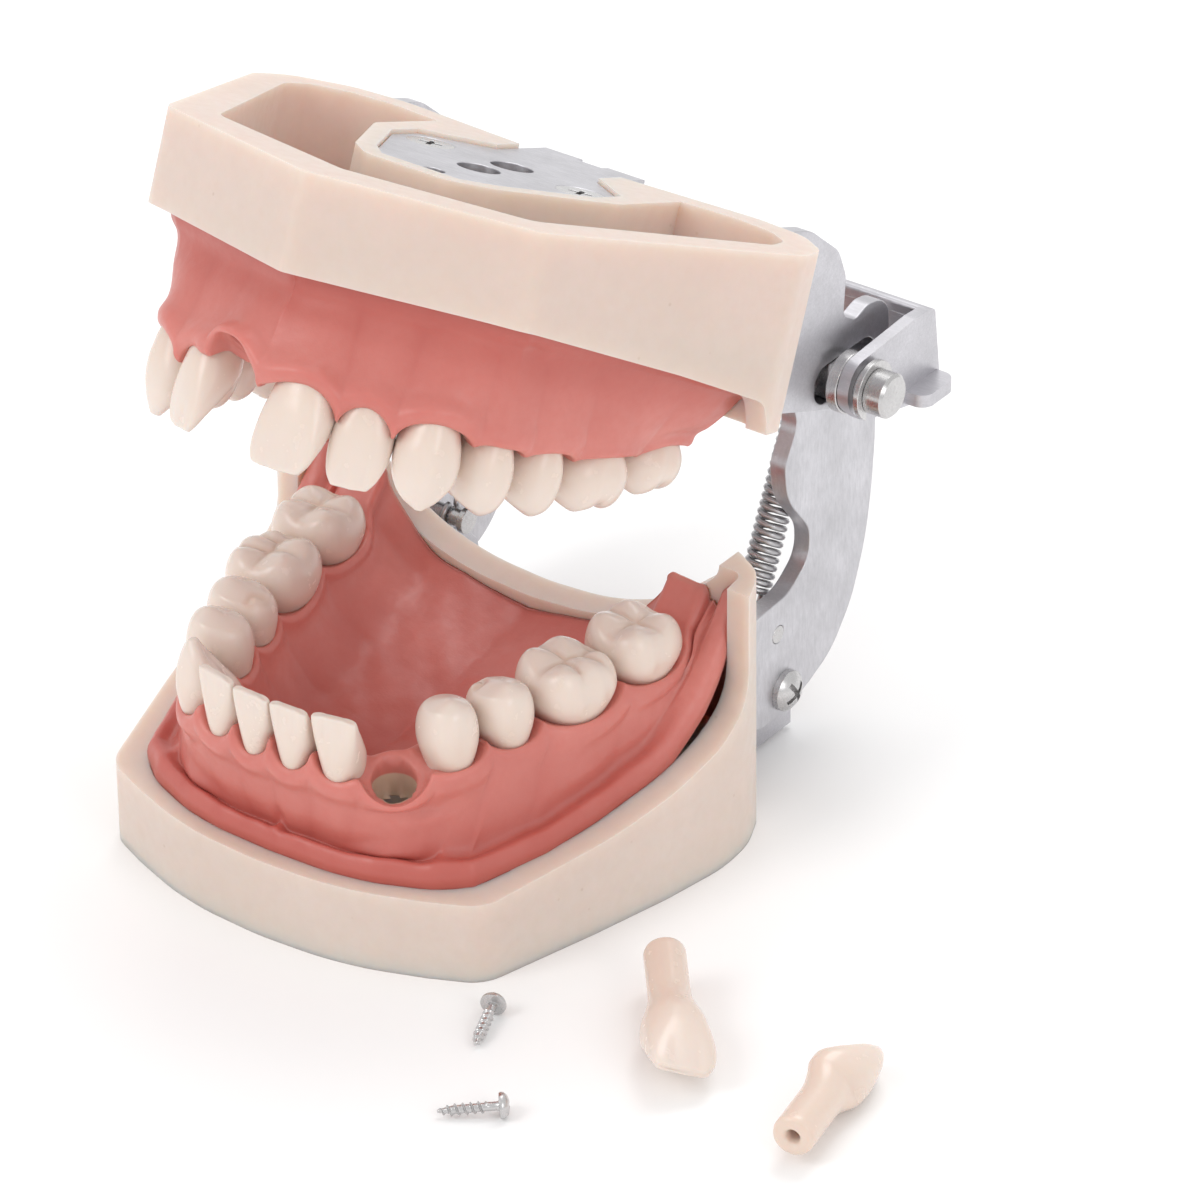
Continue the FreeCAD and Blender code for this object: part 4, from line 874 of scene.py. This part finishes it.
    # empty place: a round hole through the skin
    table_t = table[miss_i[0]]
    sx = miss_i[1]
    cpos, cax = axis_of(sx * table_t[2], table_t[3], table_t[7], table_t[4] if sx > 0 else 180 - table_t[4], table_t[9], down)
    cpos = cpos * [1, 1, sgn]; cax = cax * [1, 1, sgn]
    e1 = np.cross(cax, [0, 1, 0]); e1 /= np.linalg.norm(e1); e2 = np.cross(cax, e1)
    W = G.reshape(-1, 3) - cpos
    hz = W @ cax; hx = W @ e1; hy = W @ e2
    rho = np.hypot(hx, hy)
    RN = 4.9
    near = (hz > P["near_lo"]) & (hz < 6) & (rho < RN)
    lip_dir = np.array([math.cos(math.radians(table_t[4])) * sx, math.sin(math.radians(table_t[4])), 0])
    lip_c = W @ lip_dir
    flat = (1 - smooth01((rho - 2.7) / (RN - 2.7))) * smooth01((hz - P["near_lo"]) / 1.8)
    hz = np.where(near, hz * (1 - flat) + (P["rim_h"] - P["rim_s"] * lip_c) * flat, hz)
    R0, R1 = 1.55, 2.75
    depth_z = P["hole_z"]
    nrho, nz = rho.copy(), hz.copy()
    a_in = near & (rho < R0)
    b_in = near & (rho >= R0) & (rho < R1)
    c_in = near & (rho >= R1)
    t = (rho - R0) / (R1 - R0)
    nrho[b_in] = (2.50 + .06 * t + .30 * np.clip((t - .72) / .28, 0, 1) ** 2)[b_in]
    wall = np.clip(t / .74, 0, 1)
    nz[b_in] = (depth_z * (1 - wall) + (hz - .10) * wall)[b_in]
    nrho[a_in] = (rho * 2.50 / R0)[a_in]
    nz[a_in] = depth_z
    tc = np.clip((rho - R1) / (RN - R1), 0, 1)
    nrho[c_in] = (2.86 + (RN - 2.86) * tc)[c_in]
    nz[c_in] = hz[c_in]
    k = np.where(rho > 1e-6, nrho / np.maximum(rho, 1e-6), 1)
    W2 = cpos + np.outer(hx * k, e1) + np.outer(hy * k, e2) + np.outer(nz, cax)
    W2[~near] = G.reshape(-1, 3)[~near]
    soc = np.where((a_in | b_in) & (t < .86), P["skin_h"] - nz, -.5)
    inner = a_in.reshape(nr, n)
    V = W2.copy()
    V[:, 2] *= sgn
    F = []
    for i in range(nr - 1):
        for j in range(n - 1):
            if inner[i, j] and inner[i, j + 1] and inner[i + 1, j] and inner[i + 1, j + 1]:
                continue
            a = i * n + j
            F.append((a, a + 1, a + n + 1, a + n))
    # rear wall: both last columns go straight back and down into the base
    off = len(V)
    extra, ed, emg = [], [], []
    zr = P["rear_z"]
    for j in (0, n - 1):
        col = G[:, j].copy()
        st = []
        for f in (.0, .35, .7, 1.0):
            c = col.copy()
            c[:, 1] = np.maximum(c[:, 1], 0) * 0 + P["rear_y"] - (.35 * (1 - smooth01(f * 3)) if f < .34 else 0)
            c[:, 2] = col[:, 2] * (1 - f) + np.minimum(col[:, 2], zr) * f - (.25 if 0 < f else 0) * (1 if f < 1 else 0)
            c[:, 2] *= sgn
            st.append(c)
        base = off + len(extra) * nr
        for s_, c in enumerate(st):
            extra.append(c); ed.append(fold_shade[:, j]); emg.append(np.zeros(nr)); soc = np.r_[soc, np.full(nr, -.5)]
        prev = [i * n + j for i in range(nr)]
        for s_ in range(len(st)):
            cur = [off + (len(extra) - len(st) + s_) * nr + i for i in range(nr)]
            for i in range(nr - 1):
                F.append((prev[i], prev[i + 1], cur[i + 1], cur[i]))
            prev = cur
    V = np.concatenate([V] + extra)
    fold_shade = np.concatenate([fold_shade.reshape(-1)] + ed)
    marg = np.concatenate([marg.reshape(-1)] + emg)
    if down:
        V = up_w(V)
    ob = mesh_obj("gum_" + jaw, V, F, MAT_GUM, jaw + "_jaw", (jaw + "_gingiva",),
                  attrs=dict(fold_shade=fold_shade, marg=marg, soc=soc), merge=4e-6)
    return ob


GB = [(0, -25.5), (7.9, -25.2), (13.1, -24.2), (19.6, -21.6), (23.3, -18.6), (26.6, -9.5), (28.9, 1.5),
      (30.6, 9.0), (31.1, 15.0), (30.9, 18.0), (30.2, 23.3)]
UG = [(0, 2.2), (12, 6.3), (22.8, 10.7), (24.9, 12.6), (30.2, 27.5), (35.2, 42.0), (35.1, 45.4)]


def low_floor(x, y):
    y_ = mono([-26, -16, -10, 4, 16, 24], [12.6, 12.8, 13.1, 14.3, 16.3, 18.3], y)
    r = np.abs(x) / 15.0
    # central valley between two low swells
    return y_ + .9 * np.exp(-((np.abs(x) - 7.5) / 4.2) ** 2) * smooth01((y + 16) / 12) - .5 * np.exp(-(x / 2.2) ** 2) + 1.6 * np.clip(r - .62, 0, 1) ** 1.3


def low_detail(x, y, z):
    s = .10 * np.sin(x * .62 + y * .31) * np.cos(y * .47 - x * .2) + .06 * np.sin(x * 1.3 + 1) * np.sin(y * 1.1)
    return z + s * np.clip((22.5 - z) / 6, 0, 1)


LOWP = dict(
    cols=230, pap=(1.5, 3.0), missing=(2, 1), lab0=.45, lin0=.6, emb=.24, dl=.965, dg=.94, off=.16, sharp=4.6,
    pad_drop=-1.2, pad_rise=5.0, em=.12, bulge=.50, bulge_g=.55, col=.55, rim_h=.15, rim_s=.52, ridge_z=17.0, ridge_r=3.85, ridge_in=2.2,
    rim=(.9, .95, 2.2), slope=(.50, .25),
    z_out=lambda s: mono([0, .35, .6, .8, .92, 1.0], [11.6, 11.9, 12.8, 15.4, 21.6, 30.0], np.abs(s)),
    z_fold=lambda s: mono([0, .35, .6, .8, .92, 1.0], [11.9, 12.3, 13.6, 16.6, 23.2, 29.8], np.abs(s)),
    frenum=lambda s: np.exp(-(s / .9) ** 2) + .8 * np.exp(-((np.abs(s) - 21.5) / 1.3) ** 2),
    floor=low_floor, inner=[(.16, .42), (.34, .80), (.58, .99)], inner_drop=1.6,
    detail=low_detail, hole_z=-3.9, skin_h=-.9, near_lo=-3.4, rear_y=23.32, rear_z=12.0, miss_in=.2, miss_lab=-.1, miss_lin=-.1,
)


def up_floor(x, y):
    # height towards the tips, positive numbers: 15.5 at the top of the vault, more near the front
    e = mono([2, 8, 13, 18, 24, 34, 46], [22.0, 21.5, 19.8, 17.8, 16.2, 15.6, 16.6], y)
    r = np.abs(x) / 16.0
    return e + 1.9 * np.clip(r - .25, 0, 1) ** 1.7


def up_detail(x, y, z):
    inn = np.exp(-(x / 10.0) ** 4) * smooth01((y - 9.0) / 2.5) * smooth01((27 - y) / 5)
    # folds of the front of the palate, and the mid line
    ph = (y - .10 * np.abs(x) ** 1.25) * 2 * np.pi / 3.3 + .5 * np.sin(x * .9)
    ru = np.clip(np.sin(ph), 0, 1) ** 1.5 * np.exp(-((np.abs(x) - 4.0) / 3.4) ** 2)
    s = .10 * np.sin(x * .52 + y * .33) * np.cos(y * .41 - x * .2)
    vault = np.clip((22.5 - z) / 5, 0, 1)
    pap = .8 * np.exp(-((x / 1.5) ** 2 + ((y - 10.6) / 2.1) ** 2))
    return z + (.62 * ru * inn + .30 * np.exp(-(x / .7) ** 2) * inn) * vault + s * vault + pap * vault


UPP_ = dict(
    cols=230, pap=(1.1, 3.2), missing=(0, -1), lab0=.45, lin0=.5, emb=.24, dl=.965, dg=.92, off=.16, sharp=4.2,
    pad_drop=1.6, pad_rise=0.0, em=.16, bulge=.50, bulge_g=.55, col=.6, rim_h=-.6, rim_s=.42, ridge_z=18.4, ridge_r=0.0, ridge_in=1.1,
    rim=(.5, .9, 1.15), slope=(.60, .30),
    z_out=lambda s: mono([0, .3, .55, .75, .9, 1.0], [11.2, 11.4, 12.0, 13.4, 15.2, 16.4], np.abs(s)),
    z_fold=lambda s: mono([0, .3, .55, .75, .9, 1.0], [13.4, 13.4, 14.2, 15.4, 16.8, 17.6], np.abs(s)),
    frenum=lambda s: -1.0 * np.exp(-(s / 1.0) ** 2) - .5 * np.exp(-((np.abs(s) - 26.0) / 1.6) ** 2),
    floor=up_floor, inner=[(.20, .40), (.42, .82), (.68, .99)], inner_drop=1.0,
    detail=up_detail, hole_z=-3.4, skin_h=-2.0, near_lo=-2.0, rear_y=45.5, rear_z=11.5, miss_in=.3, miss_lab=-1.5, miss_lin=-.2,
)

LOW_KEYS = [(0, 0), (.20, .135), (.36, .295), (.50, .455), (.66, .60), (.85, .80), (1.0, 1.0)]
UP_KEYS = [(0, 0), (.22, .20), (.36, .36), (.52, .50), (.72, .70), (.88, .88), (1.0, 1.0)]
gum_lower = build_gum("lower", LOWER, GB, LOW_KEYS, ([0, .25, .45, .65, .85, 1.0], [-11.5, -10.0, -5.5, 3.0, 14.5, 23.3]), (22.9, 23.25), LOWP)
gum_upper = build_gum("upper", UPPER, UG, UP_KEYS, ([0, .25, .45, .65, .85, 1.0], [12.5, 14.0, 19.0, 27.0, 38.0, 45.4]), (22.9, 45.35), UPP_)
# ------------------------------------------------------------------ other CAD nodes as bevelled copies
def bevelled(node, width_mm, body, mat, slot, deg=28, seg=3, name=None, loose=False):
    """A rounded-edge copy of a CAD node: clean faces, then bevelled edges."""
    src = bpy.data.objects[node] if node in bpy.data.objects else frame["nodes"][node]
    me = src.data.copy()
    me.name = name or node + "_shape"
    bm = bmesh.new(); bm.from_mesh(me)
    bmesh.ops.remove_doubles(bm, verts=bm.verts, dist=2e-6)
    bmesh.ops.dissolve_limit(bm, angle_limit=math.radians(1.2), verts=bm.verts, edges=bm.edges)
    bmesh.ops.recalc_face_normals(bm, faces=bm.faces)
    bm.to_mesh(me); bm.free()
    me.materials.clear(); me.materials.append(mat)
    ob = bpy.data.objects.new(name or node + "_shape", me)
    bpy.context.scene.collection.objects.link(ob)
    if width_mm > 0:
        bv = ob.modifiers.new("edge", "BEVEL")
        bv.width = width_mm * MM
        bv.segments = seg
        bv.limit_method = "ANGLE"
        bv.angle_limit = math.radians(deg)
        bv.harden_normals = True
        bv.use_clamp_overlap = True
    me.polygons.foreach_set("use_smooth", [True] * len(me.polygons))
    sharp(me, 30)
    if width_mm > 0:
        bake(ob)
    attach(ob, body)
    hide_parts(node)
    return ob


def bake(ob):
    dg = bpy.context.evaluated_depsgraph_get()
    ev = ob.evaluated_get(dg)
    me = bpy.data.meshes.new_from_object(ev, preserve_all_data_layers=True, depsgraph=dg)
    old = ob.data
    ob.modifiers.clear()
    ob.data = me
    bpy.data.meshes.remove(old)
BODY_OF = {n: b for b, ns in frame["record"]["behaviour"]["bodies"].items() for n in ns}


def soft_copy(node, width, mat, slot, **kw):
    return bevelled(node, width, BODY_OF[node], mat, slot, **kw)


soft_copy("lower_base", .55, MAT_RESIN, "base_resin", seg=3)
soft_copy("upper_base", .55, MAT_RESIN, "base_resin", seg=3)
for nd, w, mt, sl in (("upper_plate", .22, MAT_PLATE, "satin_steel"), ("lower_frame_plate", .22, MAT_PLATE, "satin_steel"),
                      ("left_arm", .20, MAT_ARM, "satin_steel"), ("right_arm", .20, MAT_ARM, "satin_steel"),
                      ("latch_bracket", .20, MAT_PLATE, "satin_steel"), ("hinge_pin", .12, MAT_PIN, "pin_steel"),
                      ("pin_washers", .18, MAT_PIN, "screw_steel"), ("pin_clips", .10, MAT_PIN, "screw_steel"),
                      ("spring_cranks", .18, MAT_PLATE, "pin_steel"), ("spring_posts", .12, MAT_PIN, "pin_steel"),
                      ("arm_screws", .14, MAT_SCREW, "screw_steel"), ("lower_frame_screws", .08, MAT_SCREW, "screw_steel"),
                      ("upper_plate_screws", .08, MAT_SCREW, "screw_steel")):
    soft_copy(nd, w, mt, sl)


# ------------------------------------------------------------------ springs
def tube_along(P, r, nseg=8):
    """Round wire along the points P: rings by parallel transport."""
    P = np.asarray(P, float)
    T = np.gradient(P, axis=0); T /= np.linalg.norm(T, axis=1, keepdims=True)
    n0 = np.cross(T[0], [0, 0, 1.0]);
    if np.linalg.norm(n0) < .1: n0 = np.cross(T[0], [1.0, 0, 0])
    n0 /= np.linalg.norm(n0)
    N = [n0]
    for i in range(1, len(P)):
        v = N[-1] - T[i] * np.dot(N[-1], T[i])
        N.append(v / np.linalg.norm(v))
    N = np.array(N); B = np.cross(T, N)
    a = np.linspace(0, 2 * np.pi, nseg, endpoint=False)
    rr = np.broadcast_to(np.asarray(r, float), (len(P),))
    V = P[:, None, :] + rr[:, None, None] * (np.cos(a)[None, :, None] * N[:, None, :] + np.sin(a)[None, :, None] * B[:, None, :])
    V = V.reshape(-1, 3)
    F = grid_faces(len(P), nseg, True)
    F.append(tuple(range(nseg - 1, -1, -1))); F.append(tuple(range((len(P) - 1) * nseg, len(P) * nseg)))
    return V, F


def spring(side, sx):
    A = np.array([21.4, 36.6, 16.4]); B = np.array([21.4, 49.2, 43.0])
    d = B - A; L = np.linalg.norm(d); u = d / L
    ex = np.array([1.0, 0, 0]); ey = np.cross(u, ex)
    R, wire = 1.62, .38
    a0, a1 = 3.9, L - 4.4
    turns = 22
    P = []
    # lower hook: open loop round the post, in the plane across X
    for k in range(26):
        t = math.radians(-150 + 300 * (k / 25))
        P.append(A + (-u * math.cos(t) * 0 + 0) + (u * -math.cos(t) + ey * math.sin(t)) * 1.55)
    P = P[:]
    last = P[-1]
    st = A + u * a0 + ey * R
    for k in range(1, 7):
        f = k / 7
        P.append(last * (1 - f) + st * f + ex * .35 * math.sin(math.pi * f))
    nt = int(turns * 18)
    for k in range(nt + 1):
        t = 2 * math.pi * turns * k / nt
        P.append(A + u * (a0 + (a1 - a0) * k / nt) + (ey * math.cos(t) + ex * math.sin(t)) * R)
    last = P[-1]
    hook = []
    for k in range(26):
        t = math.radians(150 - 300 * (k / 25))
        hook.append(B + (u * math.cos(t) + ey * math.sin(t)) * 1.42)
    for k in range(1, 7):
        f = k / 7
        P.append(last * (1 - f) + hook[0] * f + ex * -.3 * math.sin(math.pi * f))
    P += hook
    P = np.array(P)
    # even out
    seg = np.r_[0, np.cumsum(np.linalg.norm(np.diff(P, axis=0), axis=1))]
    keep = np.r_[True, np.diff(seg) > 1e-4]
    P = P[keep]
    V, F = tube_along(P, wire, 8)
    V[:, 0] *= sx
    ob = mesh_obj(side + "_coil", V, F, MAT_SPRING, None, (side + "_spring",))
    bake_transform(ob)
    return ob


spring("left", 1)
spring("right", -1)


# ------------------------------------------------------------------ screws
def screw_mesh(length=6.8, r=.70, head_r=1.5, head_h=1.1, pitch=.85, plain=1.2, tip=1.7, nth=28):
    """Round-head thread-forming screw along +Z from the tip up; head seat at z = 0, head above."""
    rows = []
    step = pitch / 14
    zs = np.arange(-length, -plain, step)
    th = np.arange(nth) * 2 * np.pi / nth
    for z in zs:
        k = np.clip((z + length) / tip, 0, 1)
        core = (.16 + (r - .22 - .16) * k)
        ph = (z / pitch * 2 * np.pi - th) % (2 * np.pi)
        x = np.abs(ph - np.pi) / np.pi
        ridge = np.clip(1 - x / .42, 0, 1) ** .8 * .25 * np.clip((z + length) / .5, 0, 1)
        fadeout = np.clip((-plain - z) / .4, 0, 1)
        rad = core + ridge * fadeout + (1 - fadeout) * .02
        rows.append(np.stack([np.cos(th) * rad, np.sin(th) * rad, np.full(nth, z)], 1))
    def ring(z, rad): rows.append(np.stack([np.cos(th) * rad, np.sin(th) * rad, np.full(nth, z)], 1))
    ring(-plain, r - .20); ring(-.25, r - .20); ring(-.06, r - .12); ring(0, r + .05); ring(0, head_r - .12)
    ring(.06, head_r - .02); ring(.22, head_r)
    for k in range(1, 11):
        f = k / 10
        a = f * math.pi / 2 * .93
        rad = head_r * math.cos(a) ** .75
        z = .22 + (head_h - .22) * math.sin(a) ** 1.1
        ring(z, rad)
    V = np.concatenate(rows)
    F = grid_faces(len(rows), nth, True)
    F.append(tuple(range(nth - 1, -1, -1))); F.append(tuple(range((len(rows) - 1) * nth, len(rows) * nth)))
    # vertices of the head's top, not used; the cross recess is not cut here
    top = V[:, 2] > .30
    return V, F


def cross_head(ob, M, head_h=1.1):
    """Cuts the cross recess with a tapered four-wing cutter."""
    bm = bmesh.new()
    for a in (0, 90):
        w0, w1, l0, l1 = .10, .19, .42, .82
        zt, zb = head_h + .3, head_h - .62
        pts = [(-l0, -w0, zb), (l0, -w0, zb), (l0, w0, zb), (-l0, w0, zb), (-l1, -w1, zt), (l1, -w1, zt), (l1, w1, zt), (-l1, w1, zt)]
        Rz = Matrix.Rotation(math.radians(a + 25), 4, "Z")
        vs = [bm.verts.new((M @ (Rz @ Vector(p))) * MM) for p in pts]
        for f in ((0, 3, 2, 1), (4, 5, 6, 7), (0, 1, 5, 4), (1, 2, 6, 5), (2, 3, 7, 6), (3, 0, 4, 7)):
            bm.faces.new([vs[i] for i in f])
    bmesh.ops.recalc_face_normals(bm, faces=bm.faces)
    me = bpy.data.meshes.new("cutter"); bm.to_mesh(me); bm.free()
    cu = bpy.data.objects.new("cutter", me)
    bpy.context.scene.collection.objects.link(cu)
    md = ob.modifiers.new("cross", "BOOLEAN")
    md.operation = "DIFFERENCE"; md.solver = "EXACT"; md.use_self = True
    md.object = cu
    bake(ob)
    bpy.data.objects.remove(cu)
    bpy.data.meshes.remove(me)


def lay_matrix(head, tail, roll, lift_z):
    """As the model lays its loose parts: +Z of the part from tail to head."""
    d = Vector(head) - Vector(tail)
    q = Vector((0, 0, 1)).rotation_difference(d)
    return Matrix.Translation(Vector((tail[0], tail[1], lift_z))) @ q.to_matrix().to_4x4() @ Matrix.Rotation(math.radians(roll), 4, "Z")


def lay_mesh(V, head, tail, roll):
    M = lay_matrix(head, tail, roll, 0)
    A = np.array(M)
    W = V @ A[:3, :3].T + A[:3, 3]
    lift = -W[:, 2].min()
    W[:, 2] += lift
    return W, Matrix.Translation(Vector((0, 0, lift))) @ M


# loose teeth
SP = {t[0]: t for t in UPPER}
t = SP["central_incisor"]
V, F, tz, pit = crown_mesh(t[1], t[5], t[6], t[8], False, peg=2.4)
W, _ = lay_mesh(V, (56.4, -26.0, 1.1), (50.2, -18.6, 2.4), 200)
mesh_obj("loose_tooth_incisor", W, F, MAT_TOOTH, "loose_incisor", ("upper_right_central_incisor",), attrs=dict(tz=tz, pit=pit))
SP = {t[0]: t for t in LOWER}
t = SP["canine"]
V, F, tz, pit = crown_mesh(t[1], t[5], t[6], t[8], True, peg=2.4)
W, _ = lay_mesh(V, (70.0, -10.0, 2.2), (72.0, -19.6, 2.4), 150)
mesh_obj("loose_tooth_canine", W, F, MAT_TOOTH, "loose_canine", ("lower_left_canine",), attrs=dict(tz=tz, pit=pit))

# loose screws: the model lays them head first, its head at the low end of its own Z
SV, SF = screw_mesh()
flipz = SV * [1, -1, -1]
for nm, head, tail in (("loose_screw_front", (35.2, -46.4, .62), (43.0, -40.6, 1.5)), ("loose_screw_rear", (33.6, -33.0, .62), (30.9, -25.6, 1.5))):
    W, M = lay_mesh(flipz, head, tail, 0)
    ob = mesh_obj(nm + "_shape", W, SF, MAT_SCREW, {"loose_screw_front": "screw_front", "loose_screw_rear": "screw_rear"}[nm], (nm,), auto=40)
    cross_head(ob, M @ Matrix.Rotation(math.pi, 4, "X"))

# screws of the teeth in place: one mesh per jaw
for jaw, table, down in (("lower", LOWER, False), ("upper", UPPER, True)):
    VV, FF = [], []
    for nm, kind, x, y, ang, md, bl, z, h, tilt, pr in table:
        for side, sx in (("left", 1), ("right", -1)):
            if jaw + "_" + side + "_" + nm in LOOSE:
                continue
            ad = ang if sx > 0 else 180 - ang
            P = SV * [1, -1, -1] + [0, 0, -12.8]
            W = place(P, sx * x, y, z, ad, tilt, down)
            if down: W = up_w(W)
            o = sum(len(v) for v in VV)
            VV.append(W); FF += [tuple(i + o for i in f) for f in SF]
    mesh_obj(jaw + "_screws_shape", np.concatenate(VV), FF, MAT_SCREW, jaw + "_jaw", (jaw + "_tooth_screws",), auto=40)
# ------------------------------------------------------------------ stage, light, camera
def mat_floor():
    m, nt, p = nodes_of("floor_paper")
    v = coords(nt)
    c = ramp(nt, noise(nt, v, .01, 3, .5), [(.3, (.975, .975, .975)), (.7, (.985, .985, .985))])
    nt.links.new(c, p.inputs["Base Color"])
    p.inputs["Roughness"].default_value = .85
    return m


me = bpy.data.meshes.new("floor")
S = 6.0
me.from_pydata([(-S, -S, 0), (S, -S, 0), (S, S, 0), (-S, S, 0)], [], [(0, 1, 2, 3)])
floor = bpy.data.objects.new("floor", me)
bpy.context.scene.collection.objects.link(floor)
me.materials.append(mat_floor())

w = bpy.data.worlds.new("studio")
bpy.context.scene.world = w
w.use_nodes = True
w.node_tree.nodes["Background"].inputs[0].default_value = (1, 1, 1, 1)
w.node_tree.nodes["Background"].inputs[1].default_value = .84
bpy.context.scene.view_settings.view_transform = "Standard"
bpy.context.scene.view_settings.look = "None"
bpy.context.scene.view_settings.exposure = 0.0


def area(name, loc, target, size, power, col=(1, 1, 1)):
    d = bpy.data.lights.new(name, "AREA")
    d.shape = "RECTANGLE"
    d.size, d.size_y = size
    d.energy = power
    d.color = col
    o = bpy.data.objects.new(name, d)
    bpy.context.scene.collection.objects.link(o)
    o.location = loc
    o.rotation_mode = "QUATERNION"
    o.rotation_quaternion = (Vector(target) - Vector(loc)).to_track_quat("-Z", "Y")
    return o


area("key", (-.35, -.75, .75), (0, 0, .04), (.45, .45), 2.3)
area("side", (.80, -.25, .45), (0, 0, .04), (.35, .35), .9)
area("top", (-.1, .45, .85), (0, 0, .06), (.5, .5), 2.5)

# camera solved from the jaws' own symmetry
f_px, az, el, ro = 7542.73, .634521, .546271, -.0124307
tx, ty, dist = 144.995, 848.207, 822.667
c0 = np.array([0, -47.0, 22.0])
back = np.array([math.sin(az) * math.cos(el), -math.cos(az) * math.cos(el), math.sin(el)])
right = np.array([math.cos(az), math.sin(az), 0.0])
upv = np.cross(back, right)
r2 = math.cos(ro) * right + math.sin(ro) * upv
u2 = -math.sin(ro) * right + math.cos(ro) * upv
R = np.array([r2, -u2, -back])
eye = c0 - R.T @ np.array([(tx - 600) / f_px * dist, (ty - 600) / f_px * dist, dist])
cd = bpy.data.cameras.new("camera")
cd.sensor_width = 36.0
cd.sensor_fit = "HORIZONTAL"
cd.lens = 36.0 * f_px / 1200.0
cd.clip_start, cd.clip_end = .05, 50
cam = bpy.data.objects.new("camera", cd)
bpy.context.scene.collection.objects.link(cam)
mw = Matrix.Identity(4)
for i in range(3):
    mw[i][0], mw[i][1], mw[i][2], mw[i][3] = r2[i], u2[i], back[i], eye[i] * MM
cam.matrix_world = mw
bpy.context.scene.camera = cam
